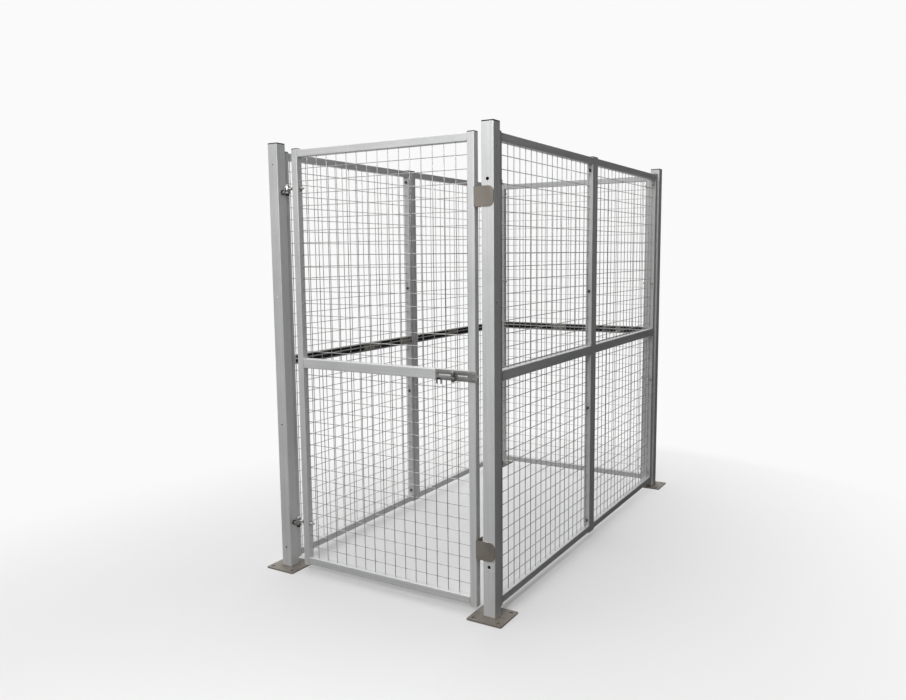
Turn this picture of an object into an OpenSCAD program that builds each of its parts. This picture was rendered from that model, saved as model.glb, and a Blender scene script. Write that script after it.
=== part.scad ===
// Free-standing wire mesh enclosure with a hinged gate: four posts on base plates,
// two mesh panels on each side, one at the back, and a gate with a slide latch.
// X runs along the gate, Y runs back into the enclosure, Z goes up from the floor.
// The origin is on the floor, under the middle of the enclosure. Sizes are in mm.

/* [Posts] */
// Side of the square posts
post_w = 50; // [40:1:60]
// Wall of the posts
post_wall = 2.5; // [2:0.5:3.5]
// Overall height, from the floor to the top of the post caps
total_h = 1820; // [1620:10:2220]
// Thickness of the head of a post cap
cap_t = 5; // [3:0.5:7]
// Depth of the plug of a cap inside its tube
cap_plug = 10; // [6:1:14]
// Clearance between the plug of a cap and its tube, each side
cap_fit = 0.2; // [0.1:0.05:0.5]

/* [Base plates] */
// Side of the square base plates
base_w = 146; // [130:2:200]
// Thickness of the base plates
base_t = 6; // [5:1:10]
// Spacing of the anchor holes, both ways
anchor_pitch = 105; // [95:1:110]
// Diameter of the anchor holes
anchor_d = 14; // [10:1:16]
// Corner radius of the base plates
base_r = 5; // [2:1:10]

/* [Panels] */
// Width of a fixed panel over its stiles
panel_w = 956; // [700:2:1200]
// Side of the square tubes of panels and gate
tube_w = 30; // [26:1:34]
// Wall of the panel and gate tubes
tube_wall = 2; // [1.5:0.25:2.5]
// Height of the mid rails, which are deeper than the tube is wide
mid_h = 40; // [30:1:50]
// Gap between a post and the panel bolted to it
panel_gap = 0.5; // [0.5:0.5:6]
// Gap between the two panels of one side
joint_gap = 2; // [1:0.5:5]
// Gap between the floor and the bottom rails
floor_gap = 35; // [25:1:80]
// How far the top rails lie under the tops of the post caps
head_gap = 35; // [25:1:80]
// How far the stiles stand past the top rails
stile_over = 1.5; // [1:0.5:4]
// How far the open ends of the stiles stand below the bottom rails
stile_foot = 5.5; // [1:0.5:10]
// Thickness of the head of a stile cap
stile_cap_t = 4; // [3:0.5:6]
// Outer corner radius of all square tubes
corner_r = 3; // [2:0.5:3.5]

/* [Mesh] */
// Pitch of the mesh, both ways
mesh_pitch = 50; // [40:1:80]
// Diameter of the mesh wires
wire_d = 3; // [2.5:0.25:5]
// Least distance from a stile or rail to the first parallel wire
mesh_edge = 20; // [15:1:28]
// Least distance from a gate stile to the first upright wire, which clears the hinge bolts
gate_mesh_edge = 30; // [28:1:48]
// How far the upright wires of the gate stand off its middle, towards the hinges
gate_mesh_shift = 5.5; // [0:0.5:10]

/* [Buffer strips] */
// Height of one buffer strip
buffer_h = 14; // [10:1:16]
// Thickness of a buffer strip
buffer_t = 8; // [5:0.5:9]
// Gap between the two strips of a panel
buffer_gap = 6; // [4:0.5:8]
// Thickness of the flat bar that carries the strips
carrier_t = 2; // [1.5:0.25:3]
// Edge of the flat bar past the strips
carrier_edge = 1; // [0.5:0.5:3]
// How far the strips are centred above the mid rail
buffer_rise = 6; // [0:1:8]
// Depth of the rib of the flat bar between the strips
rib_out = 6; // [2:0.5:7]

/* [Gate and hinges] */
// Gap between the hinge post and the gate
hinge_gap = 67.5; // [64:0.5:80]
// Gap between the gate and the latch post
latch_gap = 33.5; // [28:0.5:36]
// Distance of the hinge pins from the face of the post
pin_off = 27.5; // [26:0.5:29.5]
// Distance of each hinge from the outer edge of the nearer end rail
hinge_edge = 166.5; // [140:0.5:300]
// Diameter of the hinge pins
pin_d = 10; // [8:0.5:12]
// Running clearance of the pins, on the radius
pin_fit = 0.05; // [0.03:0.01:0.1]
// Outer diameter of the gate eyes
eye_d = 24; // [20:0.5:25]
// Height of the gate eyes
eye_h = 24; // [20:1:30]
// Gap above the post lug and under the pin washer
eye_gap = 0.3; // [0.2:0.1:1]
// Diameter of the hinge studs in the post
stud_d = 12; // [10:1:12]
// Diameter of the threaded rods of the gate eyes
rod_d = 10; // [8:0.5:12]
// Thickness of the lug on a post stud
lug_t = 7; // [6:0.5:9]
// Length of thread past the nut on the inner side of the gate stile
eye_tail = 10; // [3:1:14]

/* [Keeper plates] */
// Height of a keeper plate
keeper_h = 72; // [60:1:90]
// Thickness of the keeper plates
keeper_t = 3; // [2:0.5:4]
// Reach of a keeper plate past the post, towards the gate
keeper_reach = 29.5; // [20:0.5:31]
// Depth of the return leaf of a keeper plate
keeper_depth = 50; // [35:1:60]
// Radius of the rounded end of a keeper plate
keeper_r = 22; // [10:1:24]
// Distance of each keeper plate from the outer edge of the nearer end rail
keeper_edge = 226; // [215:1:400]

/* [Latch] */
// Length of the latch plate
latch_len = 180; // [160:1:220]
// Height of the latch plate
latch_h = 40; // [34:1:44]
// Thickness of the latch plate
latch_t = 2.5; // [2:0.5:4]
// Reach of the latch plate past the edge of the gate
latch_over = 8; // [4:1:12]
// Length of the slot
slot_len = 125; // [121:1:130]
// Height of the slot
slot_h = 7; // [6.5:0.25:8]
// Distance from the left end of the plate to the slot
slot_edge = 14; // [12:1:20]
// Diameter of the sliding bolt
bolt_d = 12; // [10:0.5:14]
// Clearance of the sliding bolt in its guides, on the radius
bolt_fit = 0.1; // [0.05:0.01:0.2]
// Clearance of the sliding bolt in the stile and the post, on the radius
bolt_hole_fit = 0.5; // [0.3:0.1:1]
// Distance from the left end of the slot to the handle at rest
handle_at = 78; // [77:1:79]
// Reach of the sliding bolt past the edge of the gate at rest
bolt_out = 7; // [3:1:8]
// Length of the sliding bolt
bolt_len = 235; // [230:1:245]
// Diameter of the handle shank
shank_d = 6; // [5:0.25:6]
// Height of the handle grip
grip_h = 46; // [30:1:60]
// Diameter of the handle grip
grip_d = 17; // [12:1:20]
// Distance of the grip's middle in front of the latch plate
grip_out = 24; // [18:1:34]
// Length of each guide block of the sliding bolt
guide_len = 20; // [12:1:22]

/* [Fasteners] */
// Diameter of the panel bolts
m8_d = 8; // [6:1:8]
// Width of the M8 nuts and heads across their flats
m8_af = 13; // [12:0.5:14]
// Height of the M8 heads
m8_head = 5.3; // [4:0.1:6]
// Height of the M8 nuts
m8_nut = 6.5; // [5:0.5:8]
// Diameter of the washers under the panel bolts
m8_washer_d = 16; // [15:0.5:18]
// Thickness of the washers under the panel bolts
m8_washer_t = 1.6; // [1:0.1:2]
// Diameter of the bolt holes in posts and stiles
m8_hole = 9; // [8.5:0.25:10]
// Distance of the outer bolts of a stile from the outer edge of the nearer end rail
bolt_edge = 56; // [48:1:80]
// Thread past the end of a nut
thread_end = 3; // [1:0.5:5]
// Clearance of a thread in its nut or washer, on the radius
thread_fit = 0.05; // [0.03:0.01:0.1]
// Width of the stud nuts across their flats
m12_af = 19; // [18:0.5:20]
// Height of the stud nuts inside the post
m12_nut = 10; // [8:0.5:11]
// Height of the thin nut that locks a stud on the post
m12_jam = 6; // [5:0.5:7]
// Clearance hole of the hinge studs and rods, added to their diameter
stud_play = 0.6; // [0.4:0.1:1]
// Width of the nuts on the gate rods across their flats
m10_af = 16; // [15:0.5:18]
// Height of the nuts on the gate rods
m10_nut = 8.4; // [6:0.2:10]
// Diameter of the washers on the gate rods
m10_washer_d = 22; // [20:0.5:25]
// Thickness of the washers on the gate rods
m10_washer_t = 2; // [1.5:0.25:3]
// Thickness of the washers on the hinge pins
pin_washer_t = 2.5; // [2:0.25:3]
// Diameter of the latch plate rivets
rivet_d = 4; // [3:0.5:5]
// Diameter of the heads of the rivets
rivet_head_d = 8; // [7:0.5:9]

/* [Hidden] */

$fn = 48;

// Colours as they look on the object
galvanised = [0.72, 0.73, 0.73];
dull_steel = [0.50, 0.48, 0.45];
black_plastic = [0.09, 0.09, 0.09];
black_rubber = [0.05, 0.05, 0.05];

// Plan of the enclosure
clear_w = panel_w + 2 * panel_gap;
clear_d = 2 * panel_w + joint_gap + 2 * panel_gap;
post_x = (clear_w + post_w) / 2;
post_y = (clear_d + post_w) / 2;
post_len = total_h - base_t - cap_t;

// Heights of the rails, and of what lines up with them
low_edge = floor_gap;
high_edge = total_h - head_gap;
mid_z = (low_edge + high_edge) / 2;
low_z = low_edge + tube_w / 2;
high_z = high_edge - tube_w / 2;
stile_low = low_edge - stile_foot;
stile_high = high_edge + stile_over;
bolt_pitch = (high_edge - low_edge - 2 * bolt_edge) / 3;
bolt_zs = [for (k = [0:3]) low_edge + bolt_edge + k * bolt_pitch];
hinge_zs = [low_edge + hinge_edge, high_edge - hinge_edge];

// The gate
gate_w = clear_w - hinge_gap - latch_gap;
gate_x = -clear_w / 2 + hinge_gap;
gate_end = gate_x + gate_w;
pin_x = -clear_w / 2 + pin_off;
eye_low = eye_gap;
eye_axis = eye_low + eye_h / 2;
washer_low = eye_low + eye_h + eye_gap;
eye_bolt_zs = [for (z = hinge_zs) z + eye_axis];
stud_hole = stud_d + stud_play;
rod_hole = rod_d + stud_play;

// Fit around the hinge pins and the depth of their heads
eye_bore = pin_d + 2 * pin_fit;
pin_head_d = 1.6 * pin_d;
pin_head_h = 4;
pin_nut_h = 8;
pin_nut_af = 16;
pin_tail = 2;
pin_washer_d = 20;

// Ends of the stud inside the post and next to the pin
stud_gap = 1;
stud_end = pin_x - eye_d / 2 - stud_gap;
lug_start = -clear_w / 2 + m12_jam + 1;

// The mesh: two layers of wire, with a hair of air between them
weave_gap = 0.05;
wire_r = wire_d / 2;
layer = wire_r + weave_gap / 2;

// Rubber strips and their carrier
carrier_h = 2 * buffer_h + buffer_gap + 2 * carrier_edge;
buffer_mid = mid_z + buffer_rise;
buffer_end = 1;
buffer_len = panel_w - 2 * tube_w - 2 * buffer_end;
buffer_r = 3;
rib_side = 0.5;
rib_h = buffer_gap - 2 * rib_side;

// The latch
plate_front = post_y + tube_w / 2 + latch_t;
plate_start = gate_end + latch_over - latch_len;
slot_start = plate_start + slot_edge;
handle_x = slot_start + handle_at;
bolt_tip = gate_end + bolt_out;
bolt_chamfer = 2;
guide_side = tube_w - 2 * tube_wall - 0.2;
guide_h = mid_h - 2 * tube_wall - 0.2;
guide_r = 2;
guide_left_x = plate_start + 12;
guide_right_x = slot_start + slot_len / 2 + 2;
bolt_gap = 0.2;
bolt_y = post_y + tube_w / 2 - tube_wall - bolt_gap - bolt_d / 2;
rail_slot_h = slot_h + 4;
staple_d = 5;
staple_w = 19;
staple_top = mid_z - 13;
staple_drop = 22;
staple_x = plate_start + 17.5;
bolt_bore = bolt_d + 2 * bolt_hole_fit;

// A square with round corners, centred, from plain squares and circles
module rounded_square(w, h, r) {
    square([w - 2 * r, h], center = true);
    square([w, h - 2 * r], center = true);
    for (x = [-1, 1], y = [-1, 1])
        translate([x * (w / 2 - r), y * (h / 2 - r)])
            circle(r);
}

// A square tube along Z
module box_tube(w, wall, len) {
    linear_extrude(len)
        difference() {
            rounded_square(w, w, corner_r);
            rounded_square(w - 2 * wall, w - 2 * wall, max(corner_r - wall, 0.5));
        }
}

// A round bar along X that starts at the origin
module x_bar(d, len) {
    rotate([0, 90, 0])
        cylinder(d = d, h = len);
}

// A hex prism along X that starts at the origin
module x_hex(af, len) {
    rotate([0, 90, 0])
        cylinder(d = af / cos(30), h = len, $fn = 6);
}

// A hex nut along X that starts at the origin
module x_nut(af, len, d) {
    difference() {
        x_hex(af, len);
        translate([-1, 0, 0])
            x_bar(d + 2 * thread_fit, len + 2);
    }
}

// A washer along X that starts at the origin
module x_washer(outer, len, d) {
    difference() {
        x_bar(outer, len);
        translate([-1, 0, 0])
            x_bar(d + 2 * thread_fit, len + 2);
    }
}

// ---- Posts ----

// One post: bolt holes through both Y walls and the -X wall, hinge holes in the +X wall
module post() {
    difference() {
        box_tube(post_w, post_wall, post_len);
        for (z = bolt_zs) {
            translate([0, 0, z - base_t])
                rotate([90, 0, 0])
                    cylinder(d = m8_hole, h = post_w + 2, center = true);
            translate([-post_w, 0, z - base_t])
                x_bar(m8_hole, post_w);
        }
        for (z = hinge_zs)
            translate([0, 0, z - base_t])
                x_bar(stud_hole, post_w);
    }
}

// Places children on the post in quarter (sx, sy), turned about Z
module at_post(sx, sy, turn) {
    translate([sx * post_x, sy * post_y, base_t])
        rotate([0, 0, turn])
            children();
}

module post_front_left() {
    color(galvanised)
        at_post(-1, -1, 0)
            post();
}

// The latch post is the same post turned a quarter, with a hole for the sliding bolt
module post_front_right() {
    color(galvanised)
        difference() {
            at_post(1, -1, -90)
                post();
            translate([clear_w / 2 - 1, -bolt_y, mid_z])
                x_bar(bolt_bore, post_w / 2);
        }
}

module post_back_left() {
    color(galvanised)
        at_post(-1, 1, 180)
            post();
}

module post_back_right() {
    color(galvanised)
        at_post(1, 1, 90)
            post();
}

// A push-in cap: a thin head over the tube and a plug inside it, head side up
module tube_cap(w, wall, head) {
    plug = w - 2 * wall - 2 * cap_fit;
    linear_extrude(head)
        rounded_square(w, w, corner_r);
    translate([0, 0, -cap_plug])
        linear_extrude(cap_plug + 0.5)
            rounded_square(plug, plug, 1);
}

module post_caps() {
    color(black_plastic)
        for (sx = [-1, 1], sy = [-1, 1])
            translate([sx * post_x, sy * post_y, base_t + post_len])
                tube_cap(post_w, post_wall, cap_t);
}

// ---- Base plates ----

module base_plate(sx, sy) {
    color(dull_steel)
        translate([sx * post_x, sy * post_y, 0])
            difference() {
                linear_extrude(base_t)
                    rounded_square(base_w, base_w, base_r);
                for (x = [-1, 1], y = [-1, 1])
                    translate([x * anchor_pitch / 2, y * anchor_pitch / 2, -1])
                        cylinder(d = anchor_d, h = base_t + 2);
            }
}

module base_plate_front_left() {
    base_plate(-1, -1);
}

module base_plate_front_right() {
    base_plate(1, -1);
}

module base_plate_back_left() {
    base_plate(-1, 1);
}

module base_plate_back_right() {
    base_plate(1, 1);
}

// ---- Panels ----
// A panel is drawn with its width along X from 0, its depth centred on Y = 0
// and its inner face towards +Y.

// One stile with cross holes along X at the given heights, moved forward by ahead
module stile(holes, d, ahead = 0) {
    difference() {
        translate([0, 0, stile_low])
            box_tube(tube_w, tube_wall, stile_high - stile_low);
        for (z = holes)
            translate([-tube_w, -ahead, z])
                x_bar(d, 2 * tube_w);
    }
}

// One rail between the two stiles of a frame of width w
module rail(w, z) {
    translate([tube_w, 0, z])
        rotate([0, 90, 0])
            box_tube(tube_w, tube_wall, w - 2 * tube_w);
}

// The deeper mid rail of a frame of width w, a tube of mid_h by tube_w
module mid_rail(w) {
    translate([tube_w, 0, mid_z])
        rotate([0, 90, 0])
            linear_extrude(w - 2 * tube_w)
                difference() {
                    rounded_square(mid_h, tube_w, corner_r);
                    rounded_square(mid_h - 2 * tube_wall, tube_w - 2 * tube_wall,
                                   max(corner_r - tube_wall, 0.5));
                }
}

module panel_frame() {
    for (x = [tube_w / 2, panel_w - tube_w / 2])
        translate([x, 0, 0])
            stile(bolt_zs, m8_hole);
    for (z = [low_z, high_z])
        rail(panel_w, z);
    mid_rail(panel_w);
}

// Upright wires of a frame of width w, in the two bays above and below the mid rail
module upright_wires(w, edge, shift) {
    inner = w - 2 * tube_w;
    gaps = floor((inner - 2 * edge) / mesh_pitch);
    bay = mid_z - mid_h / 2 - low_z - tube_w / 2;
    for (i = [0:gaps], z = [low_z + tube_w / 2, mid_z + mid_h / 2])
        translate([w / 2 - shift + (i - gaps / 2) * mesh_pitch, -layer, z])
            cylinder(d = wire_d, h = bay, $fn = 16);
}

// Where the upright wires of a frame of width w begin
function first_wire(w, edge, shift) =
    w / 2 - shift - floor((w - 2 * tube_w - 2 * edge) / mesh_pitch) * mesh_pitch / 2;

// True where a level wire at height z stays clear of every height in the list
function level_is_clear(z, taken, room) =
    len([for (t = taken) if (abs(z - t) < room) t]) == 0;

// Level wires of a frame of width w. Where a hinge bolt comes through the stile,
// the wire starts at the first upright wire instead
module level_wires(w, edge, shift, taken) {
    bay = mid_z - low_z - tube_w / 2;
    room = m10_washer_d / 2 + wire_d;
    for (k = [1:floor((bay - mesh_edge) / mesh_pitch)], side = [-1, 1]) {
        z = mid_z + side * k * mesh_pitch;
        start = level_is_clear(z, taken, room) ? tube_w : first_wire(w, edge, shift) - wire_r;
        translate([start, layer, z])
            rotate([0, 90, 0])
                cylinder(d = wire_d, h = w - tube_w - start, $fn = 16);
    }
}

module panel_mesh() {
    upright_wires(panel_w, mesh_edge, 0);
    level_wires(panel_w, mesh_edge, 0, []);
}

// Caps in the upper ends of both stiles of a frame of width w
module frame_caps(w) {
    for (x = [tube_w / 2, w - tube_w / 2])
        translate([x, 0, stile_high])
            tube_cap(tube_w, tube_wall, stile_cap_t);
}

// Flat bar on the inner face of the mid rail, with a rib between the strips
module carrier() {
    translate([tube_w + buffer_end, tube_w / 2, buffer_mid]) {
        translate([0, 0, -carrier_h / 2])
            cube([buffer_len, carrier_t, carrier_h]);
        translate([0, 0, -rib_h / 2])
            cube([buffer_len, carrier_t + rib_out, rib_h]);
    }
}

// Outline of one rubber strip: flat at the back, round edges at the front
module strip_outline() {
    translate([0, -buffer_h / 2])
        square([buffer_t - buffer_r, buffer_h]);
    translate([0, buffer_r - buffer_h / 2])
        square([buffer_t, buffer_h - 2 * buffer_r]);
    for (side = [-1, 1])
        translate([buffer_t - buffer_r, side * (buffer_h / 2 - buffer_r)])
            circle(buffer_r);
}

// The two rubber strips on the carrier
module buffer_pair() {
    for (side = [-1, 1])
        translate([tube_w + buffer_end, tube_w / 2 + carrier_t,
                   buffer_mid + side * (buffer_h + buffer_gap) / 2])
            rotate([90, 0, 90])
                linear_extrude(buffer_len)
                    strip_outline();
}

// Places a panel: front or back half of the left side, and so on
module at_left(half) {
    translate([-post_x, half < 0 ? -joint_gap / 2 : joint_gap / 2 + panel_w, 0])
        rotate([0, 0, -90])
            children();
}

module at_right(half) {
    translate([post_x, half < 0 ? -joint_gap / 2 - panel_w : joint_gap / 2, 0])
        rotate([0, 0, 90])
            children();
}

module at_back() {
    translate([panel_w / 2, post_y, 0])
        rotate([0, 0, 180])
            children();
}

module each_panel() {
    at_left(-1) children();
    at_left(1) children();
    at_right(-1) children();
    at_right(1) children();
    at_back() children();
}

module frame_left_front() {
    color(galvanised) at_left(-1) panel_frame();
}

module frame_left_back() {
    color(galvanised) at_left(1) panel_frame();
}

module frame_right_front() {
    color(galvanised) at_right(-1) panel_frame();
}

module frame_right_back() {
    color(galvanised) at_right(1) panel_frame();
}

module frame_back() {
    color(galvanised) at_back() panel_frame();
}

module mesh_left_front() {
    color(galvanised) at_left(-1) panel_mesh();
}

module mesh_left_back() {
    color(galvanised) at_left(1) panel_mesh();
}

module mesh_right_front() {
    color(galvanised) at_right(-1) panel_mesh();
}

module mesh_right_back() {
    color(galvanised) at_right(1) panel_mesh();
}

module mesh_back() {
    color(galvanised) at_back() panel_mesh();
}

module panel_stile_caps() {
    color(black_plastic) each_panel() frame_caps(panel_w);
}

module buffers_left_front() {
    color(black_rubber) at_left(-1) buffer_pair();
}

module buffers_left_back() {
    color(black_rubber) at_left(1) buffer_pair();
}

module buffers_right_front() {
    color(black_rubber) at_right(-1) buffer_pair();
}

module buffers_right_back() {
    color(black_rubber) at_right(1) buffer_pair();
}

module buffers_back() {
    color(black_rubber) at_back() buffer_pair();
}

module buffer_carriers() {
    color(galvanised) each_panel() carrier();
}

// ---- Panel fasteners ----
// Each is drawn along X: the head is on the inner side of a stile whose outer
// face is at X = 0, and the thread runs towards -X.

// Puts children at every bolt of every joint between a panel and a post
module at_post_joints() {
    for (z = bolt_zs) {
        for (sx = [-1, 1], sy = [-1, 1])
            translate([sx * post_x, sy * (clear_d / 2 - panel_gap), z])
                rotate([0, 0, -90 * sy])
                    children();
        for (sx = [-1, 1])
            translate([sx * (clear_w / 2 - panel_gap), post_y, z])
                rotate([0, 0, sx > 0 ? 180 : 0])
                    children();
    }
}

// Puts children at every bolt between the two panels of a side
module at_side_joints() {
    for (sx = [-1, 1], z = bolt_zs)
        translate([sx * post_x, joint_gap / 2, z])
            rotate([0, 0, 90])
                children();
}

module headed_bolt(len) {
    translate([tube_w + m8_washer_t, 0, 0])
        x_hex(m8_af, m8_head);
    translate([tube_w + m8_washer_t - len, 0, 0])
        x_bar(m8_d, len + 0.5);
}

module panel_bolts() {
    color(dull_steel)
        at_post_joints()
            headed_bolt(m8_washer_t + tube_w + panel_gap + post_wall + m8_nut + thread_end);
}

module post_nuts() {
    color(dull_steel)
        at_post_joints()
            translate([-panel_gap - post_wall - m8_nut, 0, 0])
                x_nut(m8_af, m8_nut, m8_d);
}

module joint_bolts() {
    color(dull_steel)
        at_side_joints()
            headed_bolt(2 * m8_washer_t + 2 * tube_w + joint_gap + m8_nut + thread_end);
}

module joint_nuts() {
    color(black_plastic)
        at_side_joints()
            translate([-joint_gap - tube_w - m8_washer_t - m8_nut, 0, 0])
                x_nut(m8_af, m8_nut, m8_d);
}

module bolt_washers() {
    color(dull_steel) {
        at_post_joints()
            translate([tube_w, 0, 0])
                x_washer(m8_washer_d, m8_washer_t, m8_d);
        at_side_joints()
            for (x = [tube_w, -joint_gap - tube_w - m8_washer_t])
                translate([x, 0, 0])
                    x_washer(m8_washer_d, m8_washer_t, m8_d);
    }
}

// ---- Keeper plates on the latch post ----

// Front leaf of a keeper plate, seen from the front
module keeper_outline(len) {
    square([len - keeper_r, keeper_h]);
    translate([0, keeper_r])
        square([len, keeper_h - 2 * keeper_r]);
    for (z = [keeper_r, keeper_h - keeper_r])
        translate([len - keeper_r, z])
            circle(keeper_r);
}

module keeper(z) {
    len = post_w + keeper_reach;
    front = post_y + post_w / 2;
    translate([clear_w / 2 - keeper_reach, -front, z - keeper_h / 2]) {
        rotate([90, 0, 0])
            linear_extrude(keeper_t)
                keeper_outline(len);
        translate([0, -keeper_t, 0])
            cube([keeper_t, keeper_depth, keeper_h]);
    }
}

module keeper_upper() {
    color(dull_steel) keeper(high_edge - keeper_edge);
}

module keeper_lower() {
    color(dull_steel) keeper(low_edge + keeper_edge);
}

// ---- Hinges ----
// Heights are measured from the hinge line, the top face of the post lug.

module at_pin(z) {
    translate([pin_x, -post_y, z])
        children();
}

// Stud through the post wall with a flat lug that carries the pin
module hinge_lug(z) {
    color(dull_steel)
        translate([0, -post_y, z])
            difference() {
                union() {
                    translate([-clear_w / 2 - post_wall - m12_nut - thread_end, 0, 0])
                        x_bar(stud_d, stud_end + clear_w / 2 + post_wall + m12_nut + thread_end);
                    translate([lug_start, -eye_d / 2, -lug_t])
                        cube([pin_x - lug_start, eye_d, lug_t]);
                    translate([pin_x, 0, -lug_t])
                        cylinder(d = eye_d, h = lug_t);
                }
                translate([pin_x, 0, -lug_t - 1])
                    cylinder(d = eye_bore, h = lug_t + stud_d);
            }
}

module hinge_lug_upper() {
    hinge_lug(hinge_zs[1]);
}

module hinge_lug_lower() {
    hinge_lug(hinge_zs[0]);
}

// A thin nut outside and a full nut inside each post wall
module hinge_lug_nuts() {
    color(black_plastic)
        for (z = hinge_zs)
            translate([-clear_w / 2, -post_y, z]) {
                x_nut(m12_af, m12_jam, stud_d);
                translate([-post_wall - m12_nut, 0, 0])
                    x_nut(m12_af, m12_nut, stud_d);
            }
}

// Round-headed pin down through washer, eye, lug and nut
module hinge_pin(z) {
    top = washer_low + pin_washer_t;
    foot = -lug_t - pin_nut_h - pin_tail;
    color(galvanised)
        at_pin(z) {
            translate([0, 0, foot])
                cylinder(d = pin_d, h = top - foot + 0.5);
            translate([0, 0, top])
                cylinder(d = pin_head_d, h = pin_head_h);
        }
}

module hinge_pin_upper() {
    hinge_pin(hinge_zs[1]);
}

module hinge_pin_lower() {
    hinge_pin(hinge_zs[0]);
}

module hinge_pin_nuts() {
    color(black_plastic)
        for (z = hinge_zs)
            at_pin(z - lug_t)
                rotate([0, 90, 0])
                    x_nut(pin_nut_af, pin_nut_h, pin_d);
}

module hinge_pin_washers() {
    color(dull_steel)
        for (z = hinge_zs)
            at_pin(z + washer_low + pin_washer_t)
                rotate([0, 90, 0])
                    x_washer(pin_washer_d, pin_washer_t, pin_d);
}

// ---- Gate ----
// The gate is drawn like a panel, with its width along X from 0.

module at_gate() {
    translate([gate_x, -post_y, 0])
        children();
}

// Mid rail of the gate, with the slot for the handle in its front wall
module gate_mid_rail() {
    difference() {
        mid_rail(gate_w);
        translate([slot_start - gate_x, -tube_w / 2 - 1, mid_z])
            rotate([-90, 0, 0])
                linear_extrude(tube_wall + 2)
                    slot_outline(slot_len, rail_slot_h);
    }
}

module gate_frame() {
    color(galvanised)
        at_gate() {
            translate([tube_w / 2, 0, 0])
                stile(eye_bolt_zs, rod_hole);
            translate([gate_w - tube_w / 2, 0, 0])
                stile([mid_z], bolt_bore, bolt_y - post_y);
            rail(gate_w, low_z);
            rail(gate_w, high_z);
            gate_mid_rail();
        }
}

module gate_mesh() {
    color(galvanised)
        at_gate() {
            upright_wires(gate_w, gate_mesh_edge, gate_mesh_shift);
            level_wires(gate_w, gate_mesh_edge, gate_mesh_shift, eye_bolt_zs);
        }
}

module gate_stile_caps() {
    color(black_plastic) at_gate() frame_caps(gate_w);
}

// Eye on the pin, with a threaded shank through the gate stile
module gate_eye_bolt(z) {
    tail = gate_x + tube_w + m10_washer_t + m10_nut + eye_tail;
    color(galvanised)
        translate([0, -post_y, z])
            difference() {
                union() {
                    translate([pin_x, 0, eye_low])
                        cylinder(d = eye_d, h = eye_h);
                    translate([pin_x, 0, eye_axis])
                        x_bar(rod_d, tail - pin_x);
                }
                translate([pin_x, 0, eye_low - 1])
                    cylinder(d = eye_bore, h = eye_h + 2);
            }
}

module gate_eye_bolt_upper() {
    gate_eye_bolt(hinge_zs[1]);
}

module gate_eye_bolt_lower() {
    gate_eye_bolt(hinge_zs[0]);
}

module eye_bolt_nuts() {
    color(black_plastic)
        for (z = eye_bolt_zs)
            translate([gate_x, -post_y, z])
                for (x = [-m10_washer_t - m10_nut, tube_w + m10_washer_t])
                    translate([x, 0, 0])
                        x_nut(m10_af, m10_nut, rod_d);
}

module eye_bolt_washers() {
    color(dull_steel)
        for (z = eye_bolt_zs)
            translate([gate_x, -post_y, z])
                for (x = [-m10_washer_t, tube_w])
                    translate([x, 0, 0])
                        x_washer(m10_washer_d, m10_washer_t, rod_d);
}

// ---- Latch ----

// Slot with round ends, along X from 0
module slot_outline(len, h) {
    translate([h / 2, -h / 2])
        square([len - h, h]);
    for (x = [h / 2, len - h / 2])
        translate([x, 0])
            circle(d = h);
}

// Places of the four rivets on the latch plate
rivet_in = 7;
rivet_up = 9;
rivet_xs = [plate_start + rivet_in, gate_end - rivet_in];

module latch_plate() {
    color(dull_steel)
        translate([0, -plate_front + latch_t, mid_z])
            rotate([90, 0, 0])
                linear_extrude(latch_t)
                    difference() {
                        translate([plate_start + latch_len / 2, 0])
                            rounded_square(latch_len, latch_h, 2);
                        translate([slot_start, 0])
                            slot_outline(slot_len, slot_h);
                    }
}

// Round-headed rivets on the face of the latch plate
module latch_rivets() {
    color(dull_steel)
        for (x = rivet_xs, side = [-1, 1])
            translate([x, -plate_front, mid_z + side * rivet_up])
                intersection() {
                    sphere(d = rivet_head_d);
                    translate([0, -rivet_d, 0])
                        cube(2 * rivet_d, center = true);
                }
}

// Bent round bar for a padlock: a bow on the plate and two legs below it
module latch_staple() {
    color(black_plastic)
        translate([staple_x, -plate_front - staple_d / 2 - 0.05, staple_top - staple_w / 2]) {
            rotate([90, 0, 0])
                rotate_extrude(angle = 180)
                    translate([staple_w / 2, 0])
                        circle(d = staple_d, $fn = 24);
            for (side = [-1, 1])
                translate([side * staple_w / 2, 0, -staple_drop + staple_w / 2])
                    cylinder(d = staple_d, h = staple_drop - staple_w / 2, $fn = 24);
        }
}

// Block inside the mid rail, with a round-bottomed channel for the sliding bolt
module latch_guide(x) {
    channel = bolt_d + 2 * bolt_fit;
    color(black_plastic)
        translate([x, -post_y, mid_z])
            difference() {
                rotate([0, 90, 0])
                    linear_extrude(guide_len, center = true)
                        rounded_square(guide_h, guide_side, guide_r);
                translate([-guide_len, post_y - bolt_y, 0]) {
                    x_bar(channel, 2 * guide_len);
                    translate([0, -tube_w, -channel / 2])
                        cube([2 * guide_len, tube_w, channel]);
                }
            }
}

module latch_guide_left() {
    latch_guide(guide_left_x);
}

module latch_guide_right() {
    latch_guide(guide_right_x);
}

// Sliding bolt with a bevelled tip and a cross bore for the handle
module latch_bolt() {
    color(galvanised)
        translate([bolt_tip - bolt_len, -bolt_y, mid_z])
            difference() {
                union() {
                    x_bar(bolt_d, bolt_len - bolt_chamfer);
                    translate([bolt_len - bolt_chamfer, 0, 0])
                        rotate([0, 90, 0])
                            cylinder(d1 = bolt_d, d2 = bolt_d - 2 * bolt_chamfer, h = bolt_chamfer);
                }
                translate([handle_x - bolt_tip + bolt_len, 0, 0])
                    rotate([90, 0, 0])
                        cylinder(d = shank_d + 2 * thread_fit, h = bolt_d);
            }
}

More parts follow.
